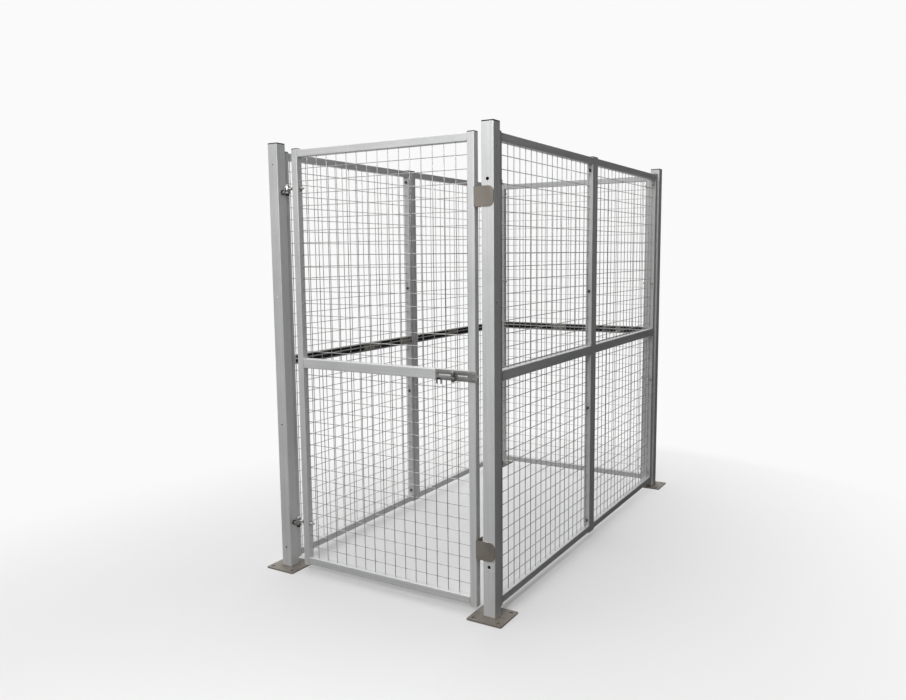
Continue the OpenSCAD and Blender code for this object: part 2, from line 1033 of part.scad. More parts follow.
// Upright grip with round ends on a shank that passes through the slot
module latch_handle() {
    grip_y = plate_front + grip_out;
    color(black_plastic)
        translate([handle_x, 0, mid_z]) {
            translate([0, -bolt_y - 0.3, 0])
                rotate([90, 0, 0])
                    cylinder(d = shank_d, h = grip_y - bolt_y - 0.3);
            translate([0, -grip_y, -(grip_h - grip_d) / 2]) {
                cylinder(d = grip_d, h = grip_h - grip_d);
                sphere(d = grip_d);
                translate([0, 0, grip_h - grip_d])
                    sphere(d = grip_d);
            }
        }
}

post_front_left();
post_front_right();
post_back_left();
post_back_right();
base_plate_front_left();
base_plate_front_right();
base_plate_back_left();
base_plate_back_right();
post_caps();
frame_left_front();
frame_left_back();
frame_right_front();
frame_right_back();
frame_back();
mesh_left_front();
mesh_left_back();
mesh_right_front();
mesh_right_back();
mesh_back();
panel_stile_caps();
buffers_left_front();
buffers_left_back();
buffers_right_front();
buffers_right_back();
buffers_back();
buffer_carriers();
panel_bolts();
post_nuts();
joint_bolts();
joint_nuts();
bolt_washers();
keeper_upper();
keeper_lower();
hinge_lug_upper();
hinge_lug_lower();
hinge_lug_nuts();
hinge_pin_upper();
hinge_pin_lower();
hinge_pin_nuts();
hinge_pin_washers();
gate_frame();
gate_mesh();
gate_stile_caps();
gate_eye_bolt_upper();
gate_eye_bolt_lower();
eye_bolt_nuts();
eye_bolt_washers();
latch_plate();
latch_rivets();
latch_staple();
latch_guide_left();
latch_guide_right();
latch_bolt();
latch_handle();
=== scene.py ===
import math
import bmesh
import bpy
import numpy as np
from mathutils import Matrix


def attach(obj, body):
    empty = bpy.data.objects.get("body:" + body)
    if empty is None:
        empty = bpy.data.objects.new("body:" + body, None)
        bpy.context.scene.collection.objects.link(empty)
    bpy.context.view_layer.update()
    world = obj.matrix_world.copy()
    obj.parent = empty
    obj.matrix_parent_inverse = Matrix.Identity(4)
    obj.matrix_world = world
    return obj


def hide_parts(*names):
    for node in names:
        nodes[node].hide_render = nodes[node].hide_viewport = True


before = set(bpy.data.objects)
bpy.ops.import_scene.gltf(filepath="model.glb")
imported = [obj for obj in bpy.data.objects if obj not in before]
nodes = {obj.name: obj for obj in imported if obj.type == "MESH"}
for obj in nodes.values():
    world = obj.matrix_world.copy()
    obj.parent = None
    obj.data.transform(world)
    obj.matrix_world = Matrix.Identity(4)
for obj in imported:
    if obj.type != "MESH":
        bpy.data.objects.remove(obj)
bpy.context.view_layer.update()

print("frame loaded:", len(nodes), "nodes")

# sizes of the enclosure in metres, the same as in the part's source
cage = {
    "postX": 0.5035, "postY": 0.9825, "postWide": 0.050, "postWall": 0.0025, "postCorner": 0.003,
    "plateThick": 0.006, "top": 1.820, "postCapThick": 0.005, "stileCapThick": 0.004,
    "tube": 0.030, "tubeCorner": 0.003, "panelWide": 0.956, "jointGap": 0.002,
    "gateX": -0.411, "gateWide": 0.856,
    "railZ": (0.050, 0.910, 1.770), "railHalf": (0.015, 0.020, 0.015), "stileHigh": 1.7865,
    "wire": 0.003, "wireGap": 0.00005, "pitch": 0.050, "levels": 16,
    "panelEdge": 0.020, "gateEdge": 0.030, "gateShift": 0.0055, "gateCut": 0.210,
    "boltZ": (0.091, 0.637, 1.183, 1.729), "hingeZ": (0.2015, 1.6185), "threadClear": 0.00005,
    "keeperZ": (0.261, 1.559), "keeperHalf": 0.036, "keeperSeat": 0.020, "pinX": -0.451,
}
midZ = cage["railZ"][1]
panelNames = ["left_front", "left_back", "right_front", "right_back", "back"]
postSpots = [(sx * cage["postX"], sy * cage["postY"]) for sx in (-1, 1) for sy in (-1, 1)]


# an object with this data, in the scene
def addObject(name, data):
    thing = bpy.data.objects.new(name, data)
    bpy.context.scene.collection.objects.link(thing)
    return thing


# where the camera stands, found from the corners of the posts and base plates
cameraView = {
    "place": (1.84760, -3.49046, 1.35477), "yaw": 0.54083, "pitch": 0.11965, "roll": -0.00973,
    "focalPixels": 791.984, "imageWide": 906, "sensorWide": 36.0,
}


# the camera is rolled about z, tilted about x by 90 degrees less pitch, then turned about z by yaw
def placeCamera(view):
    lens = bpy.data.cameras.new("photoCamera")
    lens.sensor_width = view["sensorWide"]
    lens.sensor_fit = "HORIZONTAL"
    lens.lens = view["sensorWide"] * view["focalPixels"] / view["imageWide"]
    camera = addObject("photoCamera", lens)
    pose = Matrix.Translation(view["place"])
    for axis, angle in (("Z", view["yaw"]), ("X", math.pi / 2 - view["pitch"]), ("Z", view["roll"])):
        pose = pose @ Matrix.Rotation(angle, 4, axis)
    camera.matrix_world = pose
    bpy.context.scene.camera = camera


placeCamera(cameraView)
print("camera placed")


# sets a node's inputs from values or from other sockets
def setInputs(tree, node, inputs):
    for key, value in inputs.items():
        if isinstance(value, bpy.types.NodeSocket):
            tree.links.new(value, node.inputs[key])
        else:
            node.inputs[key].default_value = value


# adds a node with its settings and inputs, and gives it back
def addNode(tree, kind, inputs=None, **settings):
    node = tree.nodes.new(kind)
    for key, value in settings.items():
        setattr(node, key, value)
    setInputs(tree, node, inputs or {})
    return node


# one step of arithmetic on numbers or sockets
def mathStep(tree, operation, *values):
    return addNode(tree, "ShaderNodeMath", dict(enumerate(values)), operation=operation).outputs[0]


# brings a value from one span to another, evenly or with SMOOTHSTEP
def remap(tree, value, low=0.0, high=1.0, toLow=0.0, toHigh=1.0, ease="LINEAR"):
    spans = {"Value": value, "From Min": low, "From Max": high, "To Min": toLow, "To Max": toHigh}
    return addNode(tree, "ShaderNodeMapRange", spans, interpolation_type=ease).outputs[0]


# one coordinate of a vector
def axisOf(tree, vector, axis):
    return addNode(tree, "ShaderNodeSeparateXYZ", {"Vector": vector}).outputs[axis]


# noise on stretched object coordinates, brought to 0..1 between the two limits of a band
def noiseBetween(tree, where, scale, detail, band, stretch=(1, 1, 1)):
    spot = addNode(tree, "ShaderNodeMapping", {"Vector": where, "Scale": stretch}).outputs[0]
    noise = addNode(tree, "ShaderNodeTexNoise", {"Vector": spot, "Scale": scale, "Detail": detail})
    return remap(tree, noise.outputs["Fac"], *band, ease="SMOOTHSTEP")


# mixes two colours or sockets by a number or a socket
def mixColour(tree, amount, first, second, blend="MIX"):
    inputs = {0: amount}
    for key, value in ((6, first), (7, second)):
        inputs[key] = value if isinstance(value, bpy.types.NodeSocket) else (*value, 1.0)
    return addNode(tree, "ShaderNodeMix", inputs, data_type="RGBA", blend_type=blend).outputs[2]


# multiplies a colour by a tone that goes from 1 - depth to 1 + lift x depth
def shadeColour(tree, colour, amount, depth, lift):
    shade = remap(tree, amount, toLow=1 - depth, toHigh=1 + lift * depth)
    return mixColour(tree, 1.0, colour, shade, "MULTIPLY")


# 1 on the rails of a frame and 0 on its stiles: a stile is where | |u - middle| - fold | is over a limit
def railMask(tree, where, stiles):
    out = mathStep(tree, "SUBTRACT", axisOf(tree, where, stiles["axis"]), stiles["middle"])
    for fold in stiles["folds"]:
        out = mathStep(tree, "SUBTRACT", mathStep(tree, "ABSOLUTE", out), fold)
    return mathStep(tree, "LESS_THAN", mathStep(tree, "ABSOLUTE", out), stiles["limit"])


# painted taupe reflections on the rubber, with ragged edges and thin spots
reflectionPatch = {
    "colour": (0.30, 0.275, 0.24), "soft": 0.004, "ragged": 0.012, "raggedScale": 60.0,
    "raggedBand": (0.25, 0.75), "thinScale": 35.0, "thinBand": (0.2, 0.6), "detail": 4.0,
}


# each patch of painted reflection is 1 between two limits along an axis, which noise moves to and fro, and
# thinned by noise
def addReflectionPatches(tree, where, colour, axis, spans):
    soft, mask = reflectionPatch["soft"], 0.0
    ragged = noiseBetween(tree, where, reflectionPatch["raggedScale"], reflectionPatch["detail"], reflectionPatch["raggedBand"])
    shift = mathStep(tree, "MULTIPLY", mathStep(tree, "SUBTRACT", ragged, 0.5), reflectionPatch["ragged"])
    moved = mathStep(tree, "ADD", axisOf(tree, where, axis), shift)
    for low, high in spans:
        rise = remap(tree, moved, low - soft, low + soft, ease="SMOOTHSTEP")
        fall = remap(tree, moved, high + soft, high - soft, ease="SMOOTHSTEP")
        mask = mathStep(tree, "MAXIMUM", mask, mathStep(tree, "MULTIPLY", rise, fall))
    thin = noiseBetween(tree, where, reflectionPatch["thinScale"], reflectionPatch["detail"], reflectionPatch["thinBand"])
    return mixColour(tree, mathStep(tree, "MULTIPLY", mask, thin), colour, reflectionPatch["colour"])


# a finish with nothing set yet, its node tree and its shader
def newFinish(name):
    finish = bpy.data.materials.new(name)
    finish.use_nodes = True
    return finish, finish.node_tree, finish.node_tree.nodes["Principled BSDF"]


# what every finish has unless it says otherwise
plainLook = {
    "detail": 3.0, "band": (0.3, 0.7), "cloudDetail": 4.0, "cloudBand": (0.36, 0.64), "stainDetail": 5.0,
    "stainSoft": 0.12, "streakLift": 0.4, "spangleLift": 0.5, "roughFiner": 3.1, "specular": 0.5,
    "grainBand": (0.2, 0.8), "grainStrength": 0.3, "grainDepth": 0.0002,
}


# one recipe for metal, plastic and rubber: clouds between two tones, then streaks, spangle, stains, patches
# of painted reflection and a painted lighter top, with roughness that varies between two values, and grain
# as bump
def makeFinish(name, ownLook):
    look = dict(plainLook, **ownLook)
    finish, tree, shader = newFinish(name)
    where = tree.nodes.new("ShaderNodeTexCoord").outputs["Object"]
    clouds = noiseBetween(tree, where, look["cloudScale"], look["cloudDetail"], look["cloudBand"])
    colour = mixColour(tree, clouds, look["dark"], look["light"])
    if "streak" in look:
        streaks = noiseBetween(tree, where, 1.0, look["detail"], look["band"], look["streak"])
        if "railStreak" in look:
            across = noiseBetween(tree, where, 1.0, look["detail"], look["band"], look["railStreak"])
            inputs = {"Factor": railMask(tree, where, look["stiles"]), "A": streaks, "B": across}
            streaks = addNode(tree, "ShaderNodeMix", inputs).outputs[0]
        colour = shadeColour(tree, colour, streaks, look["streakDepth"], look["streakLift"])
    if "spangle" in look:
        cells = addNode(tree, "ShaderNodeTexVoronoi", {"Vector": where, "Scale": look["spangle"]})
        tone = addNode(tree, "ShaderNodeSeparateColor", {"Color": cells.outputs["Color"]}).outputs[0]
        colour = shadeColour(tree, colour, tone, look["spangleDepth"], look["spangleLift"])
    if "stain" in look:
        band = (look["stainFrom"], look["stainFrom"] + look["stainSoft"])
        spots = noiseBetween(tree, where, look["stainScale"], look["stainDetail"], band)
        colour = mixColour(tree, spots, colour, look["stain"])
    # patches of painted reflection on the rubber strips
    if "paintedReflections" in look:
        colour = addReflectionPatches(tree, where, colour, *look["paintedReflections"])
    # a painted lighter top on the rubber strips, where light from above falls
    if "paintedTopLight" in look:
        paintedTopLight = remap(tree, axisOf(tree, where, "Z"), *look["paintedTopLightBand"])
        colour = mixColour(tree, paintedTopLight, colour, look["paintedTopLight"])
    rough = noiseBetween(tree, where, look["cloudScale"] * look["roughFiner"], look["detail"], look["band"])
    rough = remap(tree, rough, toLow=look["rough"][0], toHigh=look["rough"][1])
    grain = noiseBetween(tree, where, look["grainScale"], look["detail"], look["grainBand"])
    inputs = {"Height": grain, "Strength": look["grainStrength"], "Distance": look["grainDepth"]}
    bump = addNode(tree, "ShaderNodeBump", inputs).outputs[0]
    setInputs(tree, shader, {"Base Color": colour, "Metallic": look["metallic"], "Roughness": rough,
                             "Specular IOR Level": look["specular"], "Normal": bump})
    return finish


# drawing streaks are fine across a tube and long along it
fine, drawn = 150.0, 1.6
galvanisedLook = {
    "light": (0.615, 0.620, 0.615), "dark": (0.570, 0.575, 0.575), "cloudScale": 2.6,
    "streak": (fine, fine, drawn), "streakDepth": 0.07, "spangle": 150.0, "spangleDepth": 0.03,
    "metallic": 0.35, "rough": (0.44, 0.54), "grainScale": 420.0, "grainStrength": 0.25,
    "grainDepth": 0.0004,
}
half, gateHalf = cage["panelWide"] / 2, cage["gateWide"] / 2
backStiles = {"axis": "X", "middle": 0.0, "folds": (), "limit": half - cage["tube"]}
sideStiles = dict(backStiles, axis="Y", folds=(half + cage["jointGap"] / 2,))
gateStiles = dict(backStiles, middle=cage["gateX"] + gateHalf, limit=gateHalf - cage["tube"])
finishLooks = {
    "postZinc": galvanisedLook,
    "sideZinc": dict(galvanisedLook, railStreak=(fine, drawn, fine), stiles=sideStiles),
    "backZinc": dict(galvanisedLook, railStreak=(drawn, fine, fine), stiles=backStiles),
    "gateZinc": dict(galvanisedLook, railStreak=(drawn, fine, fine), stiles=gateStiles),
    "wireZinc": {"light": (0.49, 0.49, 0.48), "dark": (0.39, 0.39, 0.385), "cloudScale": 14.0,
        "metallic": 0.92, "rough": (0.27, 0.35), "grainScale": 900.0, "grainStrength": 0.08},
    "weldZinc": {"light": (0.50, 0.50, 0.49), "dark": (0.38, 0.38, 0.37), "cloudScale": 160.0,
        "metallic": 0.45, "rough": (0.40, 0.60), "grainScale": 1500.0},
    "weatheredPlate": {"light": (0.218, 0.196, 0.170), "dark": (0.172, 0.154, 0.134), "cloudScale": 9.0,
        "streak": (60.0, 60.0, 18.0), "streakDepth": 0.07, "stain": (0.165, 0.140, 0.116),
        "stainScale": 30.0, "stainFrom": 0.60, "metallic": 0.30, "rough": (0.46, 0.60),
        "grainScale": 520.0, "grainDepth": 0.0004},
    "latchSteel": {"light": (0.262, 0.259, 0.252), "dark": (0.212, 0.210, 0.205), "cloudScale": 12.0,
        "streak": (6.0, 90.0, 260.0), "streakDepth": 0.12, "metallic": 0.40, "rough": (0.40, 0.52),
        "grainScale": 700.0, "grainDepth": 0.0003},
    "darkSteel": {"light": (0.22, 0.215, 0.20), "dark": (0.15, 0.146, 0.138), "cloudScale": 90.0,
        "metallic": 0.60, "rough": (0.36, 0.50), "grainScale": 1000.0},
    "blackCap": {"light": (0.012, 0.012, 0.0125), "dark": (0.007, 0.007, 0.007), "cloudScale": 60.0,
        "specular": 0.2, "metallic": 0.0, "rough": (0.55, 0.75), "grainScale": 1400.0,
        "grainStrength": 0.35, "grainDepth": 0.0003},
    "blackNut": {"light": (0.030, 0.030, 0.031), "dark": (0.016, 0.016, 0.017), "cloudScale": 120.0,
        "metallic": 0.55, "rough": (0.32, 0.50), "grainScale": 1100.0},
    "brightZinc": {"light": (0.52, 0.52, 0.51), "dark": (0.42, 0.42, 0.41), "cloudScale": 70.0,
        "metallic": 0.92, "rough": (0.18, 0.28), "grainScale": 1300.0, "grainStrength": 0.2},
    # the sliding bolt's near-white is a painted highlight that lifts it out of the plate's shade behind the
    # slot
    "slidePaintedHighlight": {"light": (0.96, 0.96, 0.95), "dark": (0.92, 0.92, 0.91), "cloudScale": 40.0,
        "streak": (3.0, 300.0, 300.0), "streakDepth": 0.03, "metallic": 0.10, "rough": (0.22, 0.30),
        "grainScale": 1300.0, "grainStrength": 0.15, "grainDepth": 0.0001},
    "boltZinc": {"light": (0.46, 0.455, 0.43), "dark": (0.34, 0.335, 0.32), "cloudScale": 110.0,
        "metallic": 0.65, "rough": (0.34, 0.50), "grainScale": 1200.0},
    "gripPlastic": {"light": (0.120, 0.120, 0.118), "dark": (0.085, 0.085, 0.084), "cloudScale": 60.0,
        "specular": 0.9, "metallic": 0.0, "rough": (0.16, 0.26), "grainScale": 900.0,
        "grainStrength": 0.2, "grainDepth": 0.0001},
    "guidePlastic": {"light": (0.045, 0.045, 0.046), "dark": (0.030, 0.030, 0.031), "cloudScale": 80.0,
        "metallic": 0.0, "rough": (0.45, 0.60), "grainScale": 1500.0},
}
finishes = {name: makeFinish(name, look) for name, look in finishLooks.items()}

# rubber strips with a painted lighter top, where light from above falls, and painted taupe reflections
# between these pairs of limits along each strip
rubberLook = {
    "light": (0.016, 0.0155, 0.015), "dark": (0.007, 0.007, 0.007), "cloudScale": 18.0,
    "streak": (26.0, 26.0, 420.0), "streakDepth": 0.25, "metallic": 0.0, "rough": (0.60, 0.82),
    "grainScale": 800.0, "grainStrength": 0.4, "grainDepth": 0.0003, "specular": 0.12,
    "paintedTopLight": (0.42, 0.41, 0.39), "paintedTopLightBand": (0.9291, 0.9298),
}
reflectionSpans = {
    "buffers_left_front": ("Y", ((-0.453, -0.322), (-0.150, -0.041))),
    "buffers_left_back": ("Y", ((0.330, 0.420),)),
    "buffers_right_front": ("Y", ((-0.700, -0.590), (-0.260, -0.170))),
    "buffers_right_back": ("Y", ((0.180, 0.270), (0.610, 0.700))),
    "buffers_back": ("X", ((-0.481, -0.431), (-0.108, -0.025), (0.210, 0.260), (0.286, 0.321))),
}
for strip, paintedReflections in reflectionSpans.items():
    finishes[strip] = makeFinish(strip.replace("buffers_", "rubber_"), dict(rubberLook, paintedReflections=paintedReflections))
print("finishes made:", len(finishes))

# the material slot that a finish stands for, where it isn't zinc_fasteners
slotOf = {
    "weldZinc": "galvanised_tube", "wireZinc": "mesh_wire", "weatheredPlate": "dull_plate",
    "latchSteel": "dull_plate", "blackCap": "black_cap", "blackNut": "black_fittings",
    "gripPlastic": "handle_plastic",
}


# quads of a stack of closed rings, ring i to ring i + 1, and fans from the end rings to two pole points
def ringFaces(rings, around, joined):
    ring = np.arange(rings if joined else rings - 1)[:, None] + np.zeros((1, around), int)
    spot = np.arange(around)[None, :] + np.zeros_like(ring)
    onward, beside = (ring + 1) % rings, (spot + 1) % around
    quads = np.stack([ring * around + spot, ring * around + beside,
                      onward * around + beside, onward * around + spot], -1).reshape(-1, 4)
    edge = np.arange(around)
    beyond = (edge + 1) % around
    low = np.stack([beyond, edge, np.full(around, rings * around)], -1)
    last = (rings - 1) * around
    high = np.stack([last + edge, last + beyond, np.full(around, rings * around + 1)], -1)
    return quads, np.concatenate([low, high])


# a mesh from points, and from the corners of all its faces with the number of corners that each face has
def meshFrom(name, verts, loops, counts):
    mesh = bpy.data.meshes.new(name)
    mesh.vertices.add(len(verts))
    mesh.vertices.foreach_set("co", verts.astype(np.float32).ravel())
    mesh.loops.add(len(loops))
    mesh.loops.foreach_set("vertex_index", loops.astype(np.int32))
    mesh.polygons.add(len(counts))
    mesh.polygons.foreach_set("loop_start", np.concatenate([[0], np.cumsum(counts)[:-1]]).astype(np.int32))
    mesh.update(calc_edges=True)
    return mesh


# a piece on a body, from pairs (points, joined): points is (copies, rings, around, 3), and joined closes
# the stack on itself; stands names the CAD nodes that it replaces
def buildPiece(name, parts, finish, body, stands=(), slot=None, sharp=38.0):
    clouds, corners, sizes = [], [], []
    start = 0
    for points, joined in parts:
        points = np.asarray(points, float)
        points = points[None] if points.ndim == 3 else points
        count, rings, around = points.shape[:3]
        quads, fans = ringFaces(rings, around, joined)
        cloud = points.reshape(count, -1, 3)
        if not joined:
            cloud = np.concatenate([cloud, points[:, :1].mean(2), points[:, -1:].mean(2)], 1)
        shift = start + cloud.shape[1] * np.arange(count)
        for faces in (quads,) if joined else (quads, fans):
            corners.append((faces[None] + shift[:, None, None]).ravel())
            sizes.append(np.full(count * len(faces), faces.shape[1]))
        clouds.append(cloud.reshape(-1, 3))
        start += count * cloud.shape[1]
    mesh = meshFrom(name, np.concatenate(clouds), np.concatenate(corners), np.concatenate(sizes))
    shell = bmesh.new()
    shell.from_mesh(mesh)
    bmesh.ops.recalc_face_normals(shell, faces=shell.faces)
    shell.to_mesh(mesh)
    shell.free()
    mesh.polygons.foreach_set("use_smooth", np.ones(len(mesh.polygons), bool))
    mesh.set_sharp_from_angle(angle=math.radians(sharp))
    mesh.materials.append(finishes[finish])
    piece = addObject(name, mesh)
    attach(piece, body)
    slot = slot or slotOf.get(finish, "zinc_fasteners")
    if stands:
        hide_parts(*stands)


# copies of a shape whose own z runs along axis and whose own x runs along side, one copy at every spot
def place(points, spots, axis=(0, 0, 1), side=(1, 0, 0)):
    forth, across = np.array(axis, float), np.array(side, float)
    third = np.cross(forth, across)
    laid = points[..., :1] * across + points[..., 1:2] * third + points[..., 2:] * forth
    spots = np.atleast_2d(np.asarray(spots, float))
    return laid[None] + spots[:, None, None, :]


# parts that are copies of each shape at every spot
def copies(shapes, spots, joined=False, **way):
    return [(place(shape, spots, **way), joined) for shape in shapes]


alongX = {"axis": (1, 0, 0), "side": (0, 1, 0)}
alongY = {"axis": (0, 1, 0), "side": (0, 0, 1)}
toFront = {"axis": (0, -1, 0), "side": (1, 0, 0)}


# the angles of a ring of points
def angles(around):
    return np.linspace(0, 2 * np.pi, around, endpoint=False)


# a turned part: the point at angle a of ring i is (radius i cos a, radius i sin a, height i)
def turned(profile, around=36):
    a = angles(around)
    radius, height = np.array(profile, float).T[:, :, None]
    return np.stack([radius * np.cos(a), radius * np.sin(a), height + 0 * a], -1)


# a straight round bar between two heights
def bar(radius, low, high, around=20):
    return turned([(radius, low), (radius, high)], around)


hexShape = {"around": 48, "face": 0.95, "slope": 0.6, "steps": (0.0, 0.2, 0.45, 0.7, 1.0), "ease": 0.0006}


# a hexagon between two heights; its radius is the hexagon's, or near an end the cone's where that is smaller
def hexRings(flats, low, high, coneLow=True):
    a = angles(hexShape["around"])
    hexagon = flats / 2 / np.cos(np.mod(a, np.pi / 3) - np.pi / 6)
    corner, face = flats / 2 / math.cos(math.pi / 6), flats / 2 * hexShape["face"]
    cone = (corner - face) * hexShape["slope"]
    rise = cone * np.array(hexShape["steps"])
    heights = np.concatenate([low + rise if coneLow else [low], high - rise[::-1]])
    away = np.minimum(heights - low if coneLow else cone, high - heights)
    limit = face + (corner - face) * np.minimum(away / cone, 1.0)
    radius = np.minimum(hexagon[None], limit[:, None])
    return np.stack([radius * np.cos(a), radius * np.sin(a), heights[:, None] + 0 * radius], -1)


# a nut is a coned hexagon whose end rings turn in to a bore
def nutRings(flats, low, high, bore):
    ease = hexShape["ease"]
    inner = [(bore + ease, high), (bore, high - ease), (bore, low + ease), (bore + ease, low)]
    return np.concatenate([hexRings(flats, low, high), turned(inner, hexShape["around"])])


# a washer with eased edges
def washerRings(radius, bore, low, high, ease=0.0003):
    return turned([(bore, low + ease), (bore + ease, low), (radius - ease, low), (radius, low + ease),
                   (radius, high - ease), (radius - ease, high), (bore + ease, high), (bore, high - ease)])


threadShape = {"perPitch": 5, "depth": 0.55, "cone": 0.75}


# a screw thread: the radius drops as a triangle wave that climbs a pitch each turn, and both ends are coned
def threadRings(radius, pitch, low, high, around=24):
    rings = int(round((high - low) / pitch * threadShape["perPitch"])) + 1
    height = np.linspace(low, high, rings)[:, None]
    a = angles(around)[None]
    wave = np.abs(2 * np.mod(height / pitch - a / (2 * np.pi), 1.0) - 1)
    near = np.minimum(height - low, high - height) / pitch
    cone = np.clip(1 - near, 0, 1) * threadShape["cone"] * pitch
    r = radius - np.maximum(threadShape["depth"] * pitch * wave, cone)
    return np.stack([r * np.cos(a), r * np.sin(a), height + 0 * r], -1)


# a convex outline from corner arcs (centre x, centre y, radius, first angle, last angle), drawn in by inset
def roundedOutline(corners, inset=0.0, steps=6):
    rings = []
    for x, y, radius, first, last in corners:
        a = np.radians(np.linspace(first, last, steps))
        rings.append(np.stack([x + (radius - inset) * np.cos(a), y + (radius - inset) * np.sin(a)], -1))
    return np.concatenate(rings)


# the four corner arcs of a rectangle
def boxCorners(wide, high, radius, x=0.0):
    a, b = wide / 2 - radius, high / 2 - radius
    return [(x + a, b, radius, 0, 90), (x - a, b, radius, 90, 180),
            (x - a, -b, radius, 180, 270), (x + a, -b, radius, 270, 360)]


# a flat ring of points lifted to a height
def levelRing(ring, height):
    return np.column_stack([ring, np.full(len(ring), height)])


# outlines stacked in height, each from its corner arcs, its inset and its height
def outlineStack(stack):
    return np.stack([levelRing(roundedOutline(corners, inset), height) for corners, inset, height in stack])


# a plate: its outline is drawn in over a quarter round at both edges
def plateRings(corners, low, high, edge):
    turn = np.radians(np.linspace(0, 90, 4))
    stack = [(corners, edge * (1 - math.sin(t)), low + edge * (1 - math.cos(t))) for t in turn]
    stack += [(corners, edge * (1 - math.cos(t)), high - edge * (1 - math.sin(t))) for t in turn]
    return outlineStack(stack)


# a bar round a path: each ring is the circle across the path's direction, shrinking to round ends
def pipeRings(path, flatNormal, radius, around=16, endSteps=4, endLong=0.6, endAngle=8):
    path = np.asarray(path, float)
    along = np.gradient(path, axis=0)
    along /= np.linalg.norm(along, axis=1)[:, None]
    turn = np.radians(np.linspace(endAngle, 90, endSteps))
    head = path[0] - along[0] * radius * endLong * np.cos(turn)[:, None]
    tail = path[-1] + along[-1] * radius * endLong * np.cos(turn[::-1])[:, None]
    size = np.concatenate([np.sin(turn), np.ones(len(path)), np.sin(turn[::-1])]) * radius
    path = np.concatenate([head, path, tail])
    along = np.concatenate([np.repeat(along[:1], endSteps, 0), along, np.repeat(along[-1:], endSteps, 0)])
    out = np.array(flatNormal, float)[None] + 0 * along
    across = np.cross(along, out)
    a = angles(around)
    ring = np.cos(a)[None, :, None] * across[:, None] + np.sin(a)[None, :, None] * out[:, None]
    return path[:, None] + size[:, None, None] * ring


beadShape = {"bow": 0.35, "taper": 10, "tip": 0.02, "loopSharp": 6}


# a weld bead: an arc between two directions, carried along a line; its size ripples, and tapers at the ends
def beadRings(first, last, legA, legB, span=90.0, ripple=0.0024, depth=0.16, perRipple=5, arcs=6):
    first, last = np.array(first, float), np.array(last, float)
    length = np.linalg.norm(last - first)
    t = np.linspace(0, 1, max(int(length / ripple * perRipple), 8))[:, None]
    a = np.radians(np.linspace(0, span, arcs))[None]
    phase = t * length / ripple - beadShape["bow"] * np.sin(np.pi * a / np.radians(span))
    scallop = np.abs(np.sin(np.pi * phase))
    swell = np.sqrt(np.clip(1 - np.abs(2 * t - 1) ** beadShape["taper"], 0, 1))
    size = (1 - depth + depth * scallop) * (swell * (1 - beadShape["tip"]) + beadShape["tip"])
    spine = first + (last - first) * t
    arc = spine[:, None] + size[..., None] * (np.cos(a)[..., None] * np.array(legA, float)
                                              + np.sin(a)[..., None] * np.array(legB, float))
    return np.concatenate([arc, spine[:, None]], 1)


# a bead round a closed outline: outwards and up by an arc, with the same ripple
def beadLoop(corners, x, y, low, leg, ripple=0.0028, depth=0.16, perRipple=5, arcs=6):
    ring = roundedOutline(corners, 0.0, 8)
    closed = np.vstack([ring, ring[:1]])
    lengths = np.concatenate([[0], np.cumsum(np.linalg.norm(np.diff(closed, axis=0), axis=1))])
    turns = int(lengths[-1] / ripple)
    s = np.linspace(0, lengths[-1], turns * perRipple, endpoint=False)
    spine = np.column_stack([np.interp(s, lengths, closed[:, 0]), np.interp(s, lengths, closed[:, 1])])
    out = spine / np.abs(spine).max(1)[:, None]
    out = out * np.abs(out) ** beadShape["loopSharp"]
    out /= np.linalg.norm(out, axis=1)[:, None]
    a = np.radians(np.linspace(0, 90, arcs))[None]
    phase = (s / lengths[-1] * turns)[:, None] - beadShape["bow"] * np.sin(2 * a)
    size = leg * (1 - depth + depth * np.abs(np.sin(np.pi * phase)))
    flat = spine[:, None] + (size * np.cos(a))[..., None] * out[:, None]
    arc = np.concatenate([flat, (low + size * np.sin(a))[..., None]], -1)
    points = np.concatenate([arc, levelRing(spine, low)[:, None]], 1)
    return points + np.array([x, y, 0.0])


# parts in a panel's own axes, brought to the frame: local x runs along (c, s) and local y to the inner side
def onPanel(parts, which):
    half, wide, x, y = cage["jointGap"] / 2, cage["panelWide"], cage["postX"], cage["postY"]
    c, s, *start = {
        "left_front": (0, -1, -x, -half), "left_back": (0, -1, -x, half + wide),
        "right_front": (0, 1, x, -half - wide), "right_back": (0, 1, x, half),
        "back": (-1, 0, wide / 2, y), "gate": (1, 0, cage["gateX"], -y),
    }[which]
    turn = np.array([[c, s, 0], [-s, c, 0], [0, 0, 1]], float)
    return [(points @ turn + np.array([*start, 0.0]), joined) for points, joined in parts]


# the parts of one function for all five fixed panels
def onAllPanels(makeParts):
    return sum([makeParts(which, cage["panelWide"]) for which in panelNames], [])


capLook = {"edge": 0.0010, "dome": 0.0006, "corner": 0.003, "foot": 0.0003, "shares": (0.8, 0.5, 0.2)}


# a push-in cap: rounded squares that draw in over a quarter round, then rise a little to the middle
def capRings(wide, thick):
    corners = boxCorners(wide, wide, capLook["corner"])
    rim, edge = thick - capLook["dome"], capLook["edge"]
    stack = [(corners, 0.0, capLook["foot"])]
    for t in np.radians(np.linspace(0, 90, 5)):
        stack.append((corners, edge * (1 - math.cos(t)), rim - edge * (1 - math.sin(t))))
    top = roundedOutline(corners, edge)
    crown = [levelRing(top * share, rim + capLook["dome"] * (1 - share ** 2)) for share in capLook["shares"]]
    return np.concatenate([outlineStack(stack), crown])


# caps in the upper ends of both stiles
def stileCaps(which, wide):
    ends = [(x, 0, cage["stileHigh"]) for x in (cage["tube"] / 2, wide - cage["tube"] / 2)]
    return onPanel(copies([capRings(cage["tube"], cage["stileCapThick"])], ends), which)


